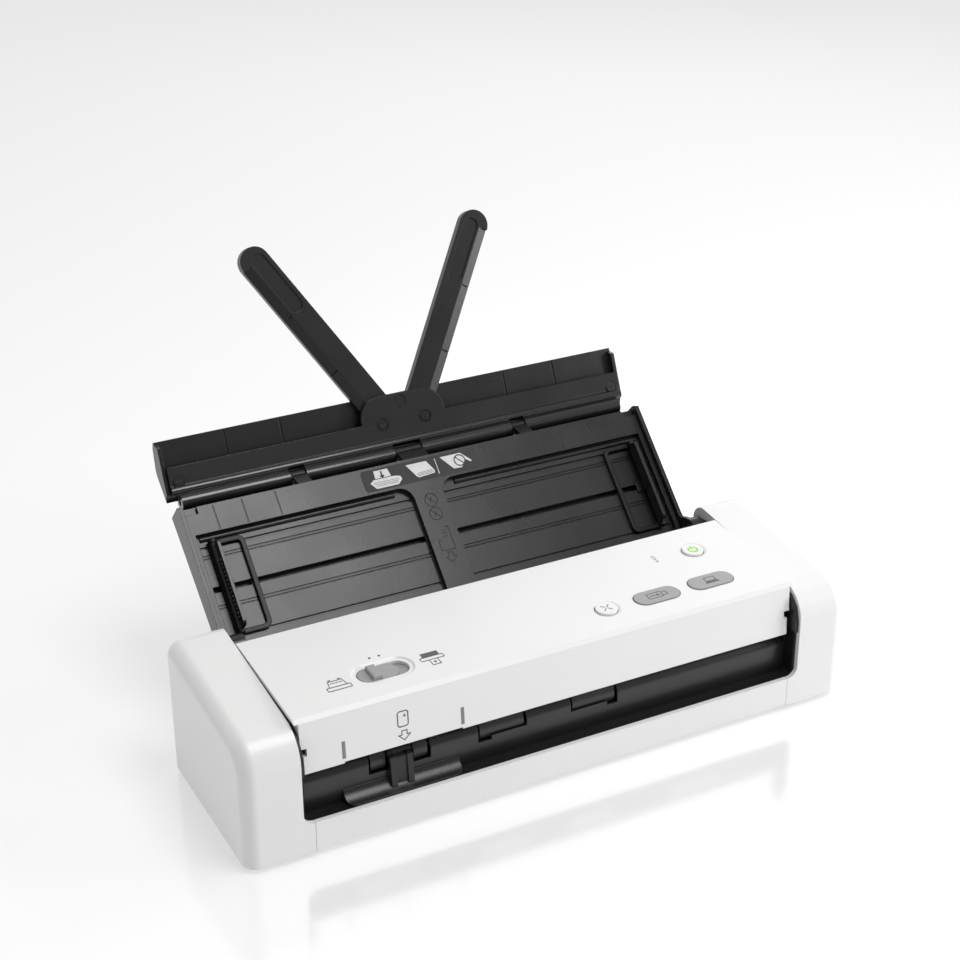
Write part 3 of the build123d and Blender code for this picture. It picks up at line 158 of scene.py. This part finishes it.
def add_world():
    """White room, bright behind the object and darker in front, so that black plastic stays black."""
    world = bpy.data.worlds.new("studio")
    bpy.context.scene.world = world
    world.use_nodes = True
    tree = world.node_tree
    tree.nodes.clear()
    out = tree.nodes.new("ShaderNodeOutputWorld")
    mix = tree.nodes.new("ShaderNodeMixShader")
    path = tree.nodes.new("ShaderNodeLightPath")
    seen = tree.nodes.new("ShaderNodeBackground")
    seen.inputs["Color"].default_value = (1, 1, 1, 1)
    lit = tree.nodes.new("ShaderNodeBackground")
    coords = tree.nodes.new("ShaderNodeTexCoord")
    split = tree.nodes.new("ShaderNodeSeparateXYZ")
    back = tree.nodes.new("ShaderNodeMapRange")
    set_range(back, *ROOM_TURN, ROOM_FRONT, ROOM_BACK)
    tree.links.new(coords.outputs["Generated"], split.inputs[0])
    tree.links.new(split.outputs["Y"], back.inputs["Value"])
    tree.links.new(back.outputs[0], lit.inputs["Strength"])
    tree.links.new(path.outputs["Is Camera Ray"], mix.inputs["Fac"])
    tree.links.new(lit.outputs[0], mix.inputs[1])
    tree.links.new(seen.outputs[0], mix.inputs[2])
    tree.links.new(mix.outputs[0], out.inputs["Surface"])


def add_floor():
    """Pale floor with a faint soft reflection."""
    mesh = bpy.data.meshes.new("floor")
    corners = [(x * FLOOR_HALF, y * FLOOR_HALF, 0) for x, y in ((-1, -1), (1, -1), (1, 1), (-1, 1))]
    mesh.from_pydata(corners, [], [(0, 1, 2, 3)])
    floor = bpy.data.objects.new("floor", mesh)
    bpy.context.scene.collection.objects.link(floor)
    material = bpy.data.materials.new("floor")
    material.use_nodes = True
    tree = material.node_tree
    tree.nodes.clear()
    out = tree.nodes.new("ShaderNodeOutputMaterial")
    matt = tree.nodes.new("ShaderNodeBsdfDiffuse")
    matt.inputs["Color"].default_value = (FLOOR_MATT, FLOOR_MATT, FLOOR_MATT, 1)
    lift = tree.nodes.new("ShaderNodeEmission")
    lift.inputs["Strength"].default_value = FLOOR_LIFT
    both = tree.nodes.new("ShaderNodeAddShader")
    gloss = tree.nodes.new("ShaderNodeBsdfGlossy")
    gloss.inputs["Roughness"].default_value = FLOOR_ROUGHNESS
    mix = tree.nodes.new("ShaderNodeMixShader")
    tree.links.new(matt.outputs[0], both.inputs[0])
    tree.links.new(lift.outputs[0], both.inputs[1])
    mix.inputs["Fac"].default_value = FLOOR_GLOSS
    tree.links.new(both.outputs[0], mix.inputs[1])
    tree.links.new(gloss.outputs[0], mix.inputs[2])
    tree.links.new(mix.outputs[0], out.inputs["Surface"])
    mesh.materials.append(material)


# ---------------------------------------------------------------- materials
class Shader:
    """A Principled material that grows node by node. Patterns use object coordinates in metres.
    edge is the radius in millimetres that sharp edges are shaded to."""

    def __init__(self, name, color, roughness, specular=0.5, coat=0.0, metallic=0.0, edge=0.35):
        self.material = bpy.data.materials.new(name)
        self.material.use_nodes = True
        self.tree = self.material.node_tree
        self.bsdf = self.tree.nodes["Principled BSDF"]
        self.set("Base Color", (*color, 1))
        self.set("Roughness", roughness)
        self.set("Specular IOR Level", specular)
        self.set("Coat Weight", coat)
        self.set("Coat Roughness", COAT_ROUGHNESS)
        self.set("Metallic", metallic)
        self.color = color
        self.roughness = roughness
        self.coords = self.node("ShaderNodeTexCoord").outputs["Object"]
        self.edge = self.node("ShaderNodeBevel")
        self.edge.samples = EDGE_SAMPLES
        self.edge.inputs["Radius"].default_value = edge * MM
        self.link(self.edge.outputs[0], self.bsdf.inputs["Normal"])

    def node(self, kind):
        return self.tree.nodes.new(kind)

    def link(self, source, target):
        self.tree.links.new(source, target)

    def set(self, socket, value):
        self.bsdf.inputs[socket].default_value = value

    def stretched(self, scale):
        mapping = self.node("ShaderNodeMapping")
        mapping.inputs["Scale"].default_value = scale
        self.link(self.coords, mapping.inputs["Vector"])
        return mapping.outputs[0]

    def noise(self, scale, detail=2.0, coords=None):
        noise = self.node("ShaderNodeTexNoise")
        noise.inputs["Scale"].default_value = scale
        noise.inputs["Detail"].default_value = detail
        self.link(coords or self.coords, noise.inputs["Vector"])
        return noise.outputs["Fac"]

    def ranged(self, value, low, high, start=0.3, end=0.7):
        span = self.node("ShaderNodeMapRange")
        set_range(span, start, end, low, high)
        self.link(value, span.inputs["Value"])
        return span.outputs[0]

    def mix(self, factor, low, high):
        """Colour between low and high, each a colour or a socket."""
        mix = self.node("ShaderNodeMix")
        mix.data_type = "RGBA"
        self.link(factor, mix.inputs[0])
        for socket, value in ((mix.inputs[6], low), (mix.inputs[7], high)):
            if isinstance(value, tuple):
                socket.default_value = (*value, 1)
            else:
                self.link(value, socket)
        return mix.outputs[2]

    def bump(self, height, distance, strength=1.0):
        """Adds bumps on top of what is there."""
        bump = self.node("ShaderNodeBump")
        bump.inputs["Distance"].default_value = distance
        bump.inputs["Strength"].default_value = strength
        self.link(height, bump.inputs["Height"])
        self.link(self.bsdf.inputs["Normal"].links[0].from_socket, bump.inputs["Normal"])
        self.link(bump.outputs[0], self.bsdf.inputs["Normal"])

    def edge_mask(self):
        """1 along convex and concave edges, 0 on open faces."""
        geometry = self.node("ShaderNodeNewGeometry")
        dot = self.node("ShaderNodeVectorMath")
        dot.operation = "DOT_PRODUCT"
        self.link(geometry.outputs["Normal"], dot.inputs[0])
        self.link(self.edge.outputs[0], dot.inputs[1])
        return self.ranged(dot.outputs["Value"], 1.0, 0.0, 0.86, 0.995)

    def tinted(self, spread, scale, wear=0.0, wear_color=None):
        """Colour that drifts a little over the surface, and shows wear along edges."""
        dark = tuple(c * (1 - spread) for c in self.color)
        light = tuple(min(1.0, c * (1 + spread)) for c in self.color)
        color = self.mix(self.ranged(self.noise(scale, 4.0), 0.0, 1.0), dark, light)
        if wear:
            worn = self.node("ShaderNodeMath")
            worn.operation = "MULTIPLY"
            self.link(self.edge_mask(), worn.inputs[0])
            self.link(self.ranged(self.noise(160.0, 5.0), 0.0, wear, 0.42, 0.72), worn.inputs[1])
            color = self.mix(worn.outputs[0], color, wear_color)
        self.link(color, self.bsdf.inputs["Base Color"])

    def uneven_gloss(self, spread, scale):
        value = self.ranged(self.noise(scale, 5.0), self.roughness - spread, self.roughness + spread)
        self.link(value, self.bsdf.inputs["Roughness"])


def moulded(name, color, roughness, grain, depth, tint=0.03, wear=0.0, **more):
    """Moulded plastic: fine spark grain, faint unevenness, light wear on its edges."""
    shader = Shader(name, color, roughness, **more)
    pale = tuple(min(1.0, c * 1.5 + 0.05) for c in color)
    shader.tinted(tint, 14.0, wear, pale)
    shader.uneven_gloss(0.025, 45.0)
    shader.bump(shader.noise(grain, 3.0), depth)
    shader.bump(shader.noise(34.0, 1.0), 0.00002, 0.3)
    return shader


def knurled():
    """Exit trough: black plastic with a fine diamond mesh."""
    shader = Shader("trough_mesh", (0.022, 0.022, 0.024), 0.5, specular=0.22)
    waves = []
    for turn in (1, -1):
        mapping = shader.node("ShaderNodeMapping")
        mapping.inputs["Rotation"].default_value = (0, 0, turn * math.radians(45))
        shader.link(shader.coords, mapping.inputs["Vector"])
        wave = shader.node("ShaderNodeTexWave")
        wave.inputs["Scale"].default_value = 340.0
        shader.link(mapping.outputs[0], wave.inputs["Vector"])
        waves.append(wave.outputs["Fac"])
    cross = shader.node("ShaderNodeMath")
    cross.operation = "MULTIPLY"
    shader.link(waves[0], cross.inputs[0])
    shader.link(waves[1], cross.inputs[1])
    shader.bump(cross.outputs[0], 0.0003)
    color = shader.mix(cross.outputs[0], (0.004, 0.004, 0.004), (0.022, 0.022, 0.023))
    shader.link(color, shader.bsdf.inputs["Base Color"])
    return shader


def brushed(name, color, roughness):
    shader = Shader(name, color, roughness, metallic=1.0)
    lines = shader.noise(120.0, 4.0, shader.stretched((0.6, 14.0, 14.0)))
    shader.link(shader.ranged(lines, roughness - 0.1, roughness + 0.12), shader.bsdf.inputs["Roughness"])
    dull = tuple(c * 0.8 for c in color)
    shader.link(shader.mix(lines, dull, color), shader.bsdf.inputs["Base Color"])
    shader.bump(lines, 0.00003)
    return shader


def rubber():
    shader = Shader("rubber", (0.03, 0.03, 0.031), 0.72, specular=0.35)
    shader.tinted(0.2, 60.0, 0.5, (0.09, 0.09, 0.088))
    shader.uneven_gloss(0.08, 300.0)
    shader.bump(shader.noise(1400.0, 3.0), 0.00012)
    return shader


def solder_mask():
    """Circuit board green with copper runs below the mask and dull pads."""
    shader = Shader("solder_mask", (0.02, 0.12, 0.045), 0.35, coat=0.4)
    brick = shader.node("ShaderNodeTexBrick")
    brick.inputs["Scale"].default_value = 160.0
    brick.inputs["Mortar Size"].default_value = 0.012
    brick.inputs["Color1"].default_value = (0.016, 0.10, 0.035, 1)
    brick.inputs["Color2"].default_value = (0.022, 0.13, 0.05, 1)
    brick.inputs["Mortar"].default_value = (0.05, 0.24, 0.10, 1)
    shader.link(shader.coords, brick.inputs["Vector"])
    dots = shader.node("ShaderNodeTexVoronoi")
    dots.inputs["Scale"].default_value = 240.0
    shader.link(shader.coords, dots.inputs["Vector"])
    pads = shader.ranged(dots.outputs["Distance"], 1.0, 0.0, 0.12, 0.16)
    color = shader.mix(pads, brick.outputs["Color"], (0.5, 0.42, 0.25))
    shader.link(color, shader.bsdf.inputs["Base Color"])
    shader.bump(brick.outputs["Fac"], 0.00005)
    return shader


def glass():
    shader = Shader("scan_glass", (0.75, 0.82, 0.80), 0.03)
    shader.set("Transmission Weight", 0.85)
    shader.uneven_gloss(0.015, 80.0)
    shader.bump(shader.noise(60.0, 2.0), 0.00001)
    return shader


def printed(name, color, roughness=0.5, specular=0.5):
    """Ink on a moulded surface."""
    shader = Shader(name, color, roughness, specular)
    shader.tinted(0.06, 400.0)
    shader.bump(shader.noise(2600.0, 2.0), 0.00002)
    return shader


def build_materials():
    white = moulded("white_cover", (0.80, 0.80, 0.795), 0.32, 1500.0, 0.00003, 0.006, coat=0.1)
    black = moulded("black_inside", (0.010, 0.010, 0.0105), 0.40, 1300.0, 0.00006, 0.12, 0.3)
    lid = moulded("lid_black", (0.013, 0.013, 0.0135), 0.28, 1700.0, 0.00003, 0.06, 0.2)
    shine = {"specular": 0.3, "edge": 1.1}
    wire = moulded("guide_wire", (0.006, 0.006, 0.0065), 0.36, 1500.0, 0.00002, 0.06, 0.2, **shine)
    flap = moulded("flap_gloss", (0.012, 0.012, 0.0125), 0.26, 1600.0, 0.00002, 0.06, 0.2, coat=0.5, edge=0.6)
    guide = moulded("guide_satin", (0.013, 0.013, 0.0135), 0.30, 1400.0, 0.00003, 0.08, coat=0.3, edge=0.5)
    roller = moulded("roller_satin", (0.020, 0.020, 0.0205), 0.34, 900.0, 0.00005, 0.1, coat=0.2)
    grey = moulded("grey_key", (0.33, 0.33, 0.33), 0.36, 1500.0, 0.00004, 0.03, 0.4)
    nylon = moulded("nylon", (0.72, 0.71, 0.67), 0.42, 700.0, 0.00005, 0.04)
    caps = moulded("screw_black", (0.025, 0.025, 0.027), 0.30, 900.0, 0.00003, 0.1, 0.6, metallic=0.4)
    return {
        "white_cover": white, "black_plastic": black, "lid_black": lid, "guide_wire": wire,
        "flap_gloss": flap, "guide_satin": guide, "roller_satin": roller,
        "grey_plastic": grey, "nylon": nylon, "screw_cap": caps,
        "steel": brushed("steel", (0.62, 0.62, 0.63), 0.32), "rubber": rubber(), "glass": glass(),
        "circuit_board": solder_mask(), "trough": knurled(),
        "ink_dark": printed("ink_dark", (0.10, 0.10, 0.105)),
        "ink_mid": printed("ink_mid", (0.21, 0.21, 0.215)),
        "ink_light": printed("ink_light", (0.62, 0.62, 0.61)),
        "ink_lime": printed("ink_lime", (0.31, 0.74, 0.004), 0.4),
        "ink_plate": printed("ink_plate", (0.050, 0.050, 0.052), 0.6, 0.15),
        # Near-black ink of painted shade: it stands in for the shadows of moulded marks and of the gaps round
        # screws.
        "relief": printed("relief", (0.006, 0.006, 0.006), 0.5, 0.2),
    }


# Nodes with a finish of their own. Every other node takes that of its slot in the record.
FINISH_OF_NODE = {
    "exit_liner": "trough",
    "lower_paper_guide": "guide_satin",
    "card_guide": "lid_black",
    "eject_rollers": "roller_satin",
    "flap_front_plate": "flap_gloss",
    "left_guide_carriage": "guide_wire",
    "right_guide_carriage": "guide_wire",
}


def dress_cad(finishes):
    for part in frame["record"]["subparts"]:
        node = frame["nodes"][part["node"]]
        finish = FINISH_OF_NODE.get(part["node"], part["material_slot"])
        if not node.material_slots:
            node.data.materials.append(None)
        for slot in node.material_slots:
            slot.material = finishes[finish].material


# ---------------------------------------------------------------- flat drawings
def stroke(bm, points, width, closed=False):
    """Ribbon along a line, mitred at its corners."""
    line = [Vector(point) for point in points]
    count = len(line)
    rims = []
    for k, point in enumerate(line):
        before = line[k - 1] if closed or k > 0 else None
        after = line[(k + 1) % count] if closed or k < count - 1 else None
        arriving = (point - before).normalized() if before is not None else (after - point).normalized()
        leaving = (after - point).normalized() if after is not None else arriving
        along = (arriving + leaving).normalized()
        across = Vector((-along.y, along.x))
        reach = width / 2 / max(0.35, across.dot(Vector((-arriving.y, arriving.x))))
        left, right = point + across * reach, point - across * reach
        rims.append((bm.verts.new((left.x, left.y, 0)), bm.verts.new((right.x, right.y, 0))))
    for k in range(count if closed else count - 1):
        a, b = rims[k], rims[(k + 1) % count]
        bm.faces.new((a[1], b[1], b[0], a[0]))


def fill(bm, points):
    face = bm.faces.new([bm.verts.new((x, y, 0)) for x, y in points])
    face.normal_update()
    if face.normal.z < 0:
        face.normal_flip()


def arc(centre, radius, start, end, steps=24):
    angles = [math.radians(start + (end - start) * k / steps) for k in range(steps + 1)]
    return [(centre[0] + radius * math.cos(a), centre[1] + radius * math.sin(a)) for a in angles]


def ring(bm, centre, radius, width):
    stroke(bm, arc(centre, radius, 0, 352.5, 47), width, closed=True)


def disc(bm, centre, radius):
    fill(bm, arc(centre, radius, 0, 345, 23))


def rounded(centre, width, height, radius):
    """Corner points of a rectangle with round corners."""
    points = []
    for sx, sy, start in ((1, 1, 0), (-1, 1, 90), (-1, -1, 180), (1, -1, 270)):
        corner = (centre[0] + sx * (width / 2 - radius), centre[1] + sy * (height / 2 - radius))
        points += arc(corner, radius, start, start + 90, 6)
    return points


# ---------------------------------------------------------------- places for drawings
def on_panel(x, y, lift=0.0):
    """Frame on the control panel, Y up the panel towards the tray."""
    z = panel_high.z / MM + PANEL_SLOPE * (y - PANEL_BACK_Y)
    turn = Matrix.Rotation(math.atan(PANEL_SLOPE), 4, "X")
    origin = Vector((x * MM, y * MM + MID_Y, z * MM))
    return Matrix.Translation(origin) @ turn @ Matrix.Translation((0, 0, lift * MM))


def on_front(x, z):
    """Frame on the front face of the cover, Y up the face."""
    run = FRONT_CREASE[0] - FRONT_LIP[0]
    rise = FRONT_CREASE[1] - FRONT_LIP[1]
    y = FRONT_LIP[0] + run * (z - FRONT_LIP[1]) / rise
    turn = Matrix.Rotation(math.radians(90) - math.atan(run / rise), 4, "X")
    return Matrix.Translation((x * MM, y * MM + MID_Y, z * MM)) @ turn


def on_lid(x, u, v):
    """Frame on the open tray: u runs up the tray, v square to it."""
    hinge = Vector(joints["lid_fold"]["pos_m"])
    place = Matrix.Translation((0, hinge.y, hinge.z)) @ Matrix.Rotation(math.radians(LID_TILT), 4, "X")
    return place @ Matrix.Translation((x * MM, u * MM, v * MM))


def on_flap(b):
    """Frame on the open flap, its origin on the flap's hinge and Z square to the flap."""
    hinge = Vector(joints["flap_fold"]["pos_m"])
    turn = Matrix.Rotation(math.radians(LID_TILT + FLAP_TILT), 4, "X")
    return Matrix.Translation((0, hinge.y, hinge.z)) @ turn @ Matrix.Translation((0, 0, b * MM))


def drawing(name, body, place, draw, finish, height=PRINT, stretch=(1.0, 1.0)):
    """Thin closed piece made from a flat drawing, set on a surface."""
    bm = bmesh.new()
    draw(bm)
    mesh = bpy.data.meshes.new(name)
    bm.to_mesh(mesh)
    bm.free()
    mesh.transform(Matrix.Diagonal((*stretch, 1.0, 1.0)))
    mesh.transform(place @ Matrix.Translation((0, 0, -SUNK * MM)) @ Matrix.Scale(MM, 4))
    piece = bpy.data.objects.new(name, mesh)
    bpy.context.scene.collection.objects.link(piece)
    mesh.materials.append(finish.material)
    skin = piece.modifiers.new("thickness", "SOLIDIFY")
    skin.thickness = (height + SUNK) * MM
    skin.offset = 1.0
    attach(piece, body)


# ---------------------------------------------------------------- pictograms
def power_mark(bm):
    stroke(bm, arc((0, -0.2), 2.1, 122, 418, 30), 1.0)
    stroke(bm, [(0, 0.1), (0, 2.7)], 1.0)


def stop_mark(bm):
    for side in (-1, 1):
        for end in (-1, 1):
            stroke(bm, [(side * end * 0.4, end * 0.4), (side * end * 2.1, end * 2.1)], 0.5)


def memory_mark(bm):
    stroke(bm, rounded((-0.9, 0), 6.6, 3.2, 0.5), 0.32, closed=True)
    stroke(bm, [(2.6, 1.0), (4.6, 1.0), (4.6, -1.0), (2.6, -1.0)], 0.32)
    stroke(bm, [(-3.0, 0), (0.2, 0)], 0.34)
    fill(bm, [(0.1, 0.8), (1.4, 0), (0.1, -0.8)])


def computer_mark(bm):
    stroke(bm, rounded((0, 0.9), 4.6, 3.0, 0.3), 0.34, closed=True)
    fill(bm, [(-2.5, -0.9), (2.5, -0.9), (3.3, -2.3), (-3.3, -2.3)])


def alert_mark(bm):
    outline = [(-0.35, -0.4), (-0.75, 2.3), (-0.3, 2.9), (0.3, 2.9), (0.75, 2.3), (0.35, -0.4)]
    stroke(bm, outline, 0.26, closed=True)
    ring(bm, (0, -1.9), 0.62, 0.28)


def dot_marks(bm):
    disc(bm, (-2.25, 0), 0.62)
    disc(bm, (2.25, 0), 0.62)


def sheets_in_mark(bm):
    """Scanner with its tray up."""
    stroke(bm, rounded((0, -1.9), 10.8, 1.7, 0.35), 0.38, closed=True)
    stroke(bm, [(-3.9, -0.8), (-3.2, 1.9), (3.2, 1.9), (3.9, -0.8)], 0.38)
    stroke(bm, [(-2.8, 2.5), (-1.6, 2.5)], 0.5)
    stroke(bm, [(1.6, 2.5), (2.8, 2.5)], 0.5)
    stroke(bm, [(-2.9, 0.8), (2.9, 0.8)], 0.3)


def sheets_out_mark(bm):
    """Scanner with a small sheet leaving at the front."""
    fill(bm, [(-4.0, 1.0), (4.0, 1.0), (4.0, 3.1), (-4.0, 3.1)])
    stroke(bm, rounded((0, -0.1), 10.8, 1.7, 0.35), 0.38, closed=True)
    stroke(bm, [(-1.9, -1.2), (-1.9, -4.0), (1.9, -4.0), (1.9, -1.2)], 0.38)
    fill(bm, [(-0.9, -2.1), (0.9, -2.1), (0, -3.3)])


def card_mark(bm):
    stroke(bm, rounded((0, 0), 4.8, 7.2, 1.1), 0.52, closed=True)
    fill(bm, [(0.1, 0.9), (1.5, 0.9), (0.8, 2.3)])


def down_mark(bm):
    outline = [(-1.2, 2.2), (1.2, 2.2), (1.2, 0.2), (2.7, 0.2), (0, -2.4), (-2.7, 0.2), (-1.2, 0.2)]
    stroke(bm, outline, 0.46, closed=True)


def card_tick(bm):
    fill(bm, [(-0.8, -4.1), (0.8, -4.1), (0.8, 4.1), (-0.8, 4.1)])


def label_plate(bm):
    fill(bm, rounded((0, 0), 57.5, 10.2, 1.7))


def label_sheets(bm):
    """Pale shapes of the loading pictograms: scanner and sheet, a stack, sheets not to load."""
    fill(bm, [(-22.6, 0.4), (-14.8, 0.4), (-15.6, 4.2), (-22.4, 4.2)])
    scanner = [(-25.6, -1.2), (-23.6, 0.1), (-13.4, 0.1), (-10.6, -0.6)]
    scanner += [(-10.2, -2.2), (-12.6, -4.3), (-23.4, -4.3)]
    fill(bm, scanner)
    fill(bm, [(-6.6, 3.6), (3.6, 3.6), (6.2, -1.4), (6.0, -2.8), (-2.0, -3.4), (-3.0, -2.8)])
    fill(bm, [(10.6, 3.8), (21.0, 3.8), (25.4, -0.8), (24.6, -1.4), (22.6, 0.2), (19.6, -3.2), (15.6, -3.0)])


def label_rule(bm):
    stroke(bm, [(7.9, 3.8), (7.9, -3.8)], 0.35)


def label_lines(bm):
    """Dark lines over the pale shapes."""
    stroke(bm, [(-19.0, 3.6), (-19.0, 1.4)], 0.7)
    fill(bm, [(-20.3, 1.6), (-17.7, 1.6), (-19.0, 0.0)])
    for k in range(3):
        stroke(bm, [(-24.0 + 0.4 * k, -1.5 - 0.8 * k), (-11.4 - 0.4 * k, -1.5 - 0.8 * k)], 0.16)
    for k in range(3):
        stroke(bm, [(-2.6, -2.6 + 0.6 * k), (5.6 - 0.1 * k, -2.2 + 0.6 * k)], 0.16)
    ring(bm, (19.6, 0.4), 2.6, 0.55)
    stroke(bm, [(17.9, 2.2), (21.3, -1.4)], 0.5)


def spine_marks(bm):
    """Marks moulded on the middle rib: no clips, no staples, sheet this way up, feed down. They are drawn as
    near-black lines of painted shade, not shaped.
    """
    for u in (5.0, -2.2):
        ring(bm, (0, u), 3.2, 0.3)
        stroke(bm, [(-2.3, u + 2.3), (2.3, u - 2.3)], 0.28)
        stroke(bm, [(-0.9, u - 1.5), (0.5, u + 1.6)], 0.28)
    page = [(1.6, -9.4), (3.4, -9.4), (3.4, -21.0), (-3.6, -21.0), (-3.6, -15.6), (-2.0, -15.6)]
    stroke(bm, page, 0.28)
    for k in range(3):
        stroke(bm, [(-0.6, -11.0 - 1.5 * k), (1.8, -11.0 - 1.5 * k)], 0.28)
    arrow = [(-1.2, -22.2), (1.2, -22.2), (1.2, -24.4), (2.8, -24.4)]
    arrow += [(0, -27.4), (-2.8, -24.4), (-1.2, -24.4)]
    stroke(bm, arrow, 0.28, closed=True)


def screw_rings(bm):
    """Shadow lines round the three screws of the flap's boss."""
    for spot in BOSS_SCREWS:
        ring(bm, spot, 2.95, 0.3)


def end_screw_rings(bm):
    # Painted shadow lines round the flap's two end screws.
    for spot in END_SCREWS:
        ring(bm, spot, 3.0, 0.3)


def add_print(inks):
    """Sets every mark on its part. Spots are in millimetres, and the last pair stretches the drawing."""
    white, grey, lid = "white_cover", "grey_plastic", "lid_black"
    keys = (
        ("power_mark", "power_button", (98.1, 6.9), power_mark, "ink_lime", white, (1.0, 1.0)),
        ("stop_mark", "stop_button", (35.1, -19.5), stop_mark, "ink_mid", white, (1.0, 1.0)),
        ("memory_mark", "usb_button", (61.2, -20.1), memory_mark, "ink_dark", grey, (1.12, 1.25)),
        ("computer_mark", "pc_button", (90.4, -19.8), computer_mark, "ink_dark", grey, (1.15, 1.0)),
    )
    for name, body, spot, draw, ink, slot, stretch in keys:
        drawing(name, body, on_panel(*spot, KEY_TOP), draw, inks[ink], stretch=stretch)
    cover = (
        ("alert_mark", on_panel(77.6, 7.4), alert_mark, "ink_mid", (1.0, 1.0)),
        ("selector_dots", on_panel(-74.2, -9.0), dot_marks, "ink_dark", (1.0, 1.0)),
        ("sheets_in_mark", on_panel(-96.6, -20.7), sheets_in_mark, "ink_dark", (1.0, 1.45)),
        ("sheets_out_mark", on_panel(-52.1, -20.2), sheets_out_mark, "ink_dark", (1.0, 1.35)),
        ("card_mark", on_front(-75.2, 51.2), card_mark, "ink_dark", (1.0, 1.0)),
        ("feed_mark", on_front(-74.8, 43.4), down_mark, "ink_dark", (1.0, 1.0)),
        ("card_tick_left", on_front(-102.6, 44.5), card_tick, "ink_mid", (1.0, 1.0)),
        ("card_tick_right", on_front(-47.4, 44.5), card_tick, "ink_mid", (1.0, 1.0)),
    )
    for name, place, draw, ink, stretch in cover:
        drawing(name, "front_cover", place, draw, inks[ink], stretch=stretch)
    label = (
        ("label_plate", label_plate, "ink_plate", 1),
        ("label_sheets", label_sheets, "ink_light", 2),
        ("label_rule", label_rule, "ink_light", 2),
        ("label_lines", label_lines, "ink_plate", 3),
    )
    for name, draw, ink, layers in label:
        drawing(name, "lid", on_lid(*LABEL_SPOT, BAND_V), draw, inks[ink], layers * PRINT, LABEL_STRETCH)
    # The tray's moulded marks and the shadow rings round the flap's screws are painted shade in near-black
    # ink.
    drawing("spine_marks", "lid", on_lid(*SPINE_SPOT, BAND_V), spine_marks, inks["relief"])
    drawing("screw_rings", "flap", on_flap(BOSS_TOP), screw_rings, inks["relief"])
    drawing("end_screw_rings", "flap", on_flap(END_PLATE), end_screw_rings, inks["relief"])


add_camera()
add_world()
add_lights()
add_floor()
finishes = build_materials()
dress_cad(finishes)
add_print(finishes)
bpy.context.scene.view_settings.view_transform = "Standard"
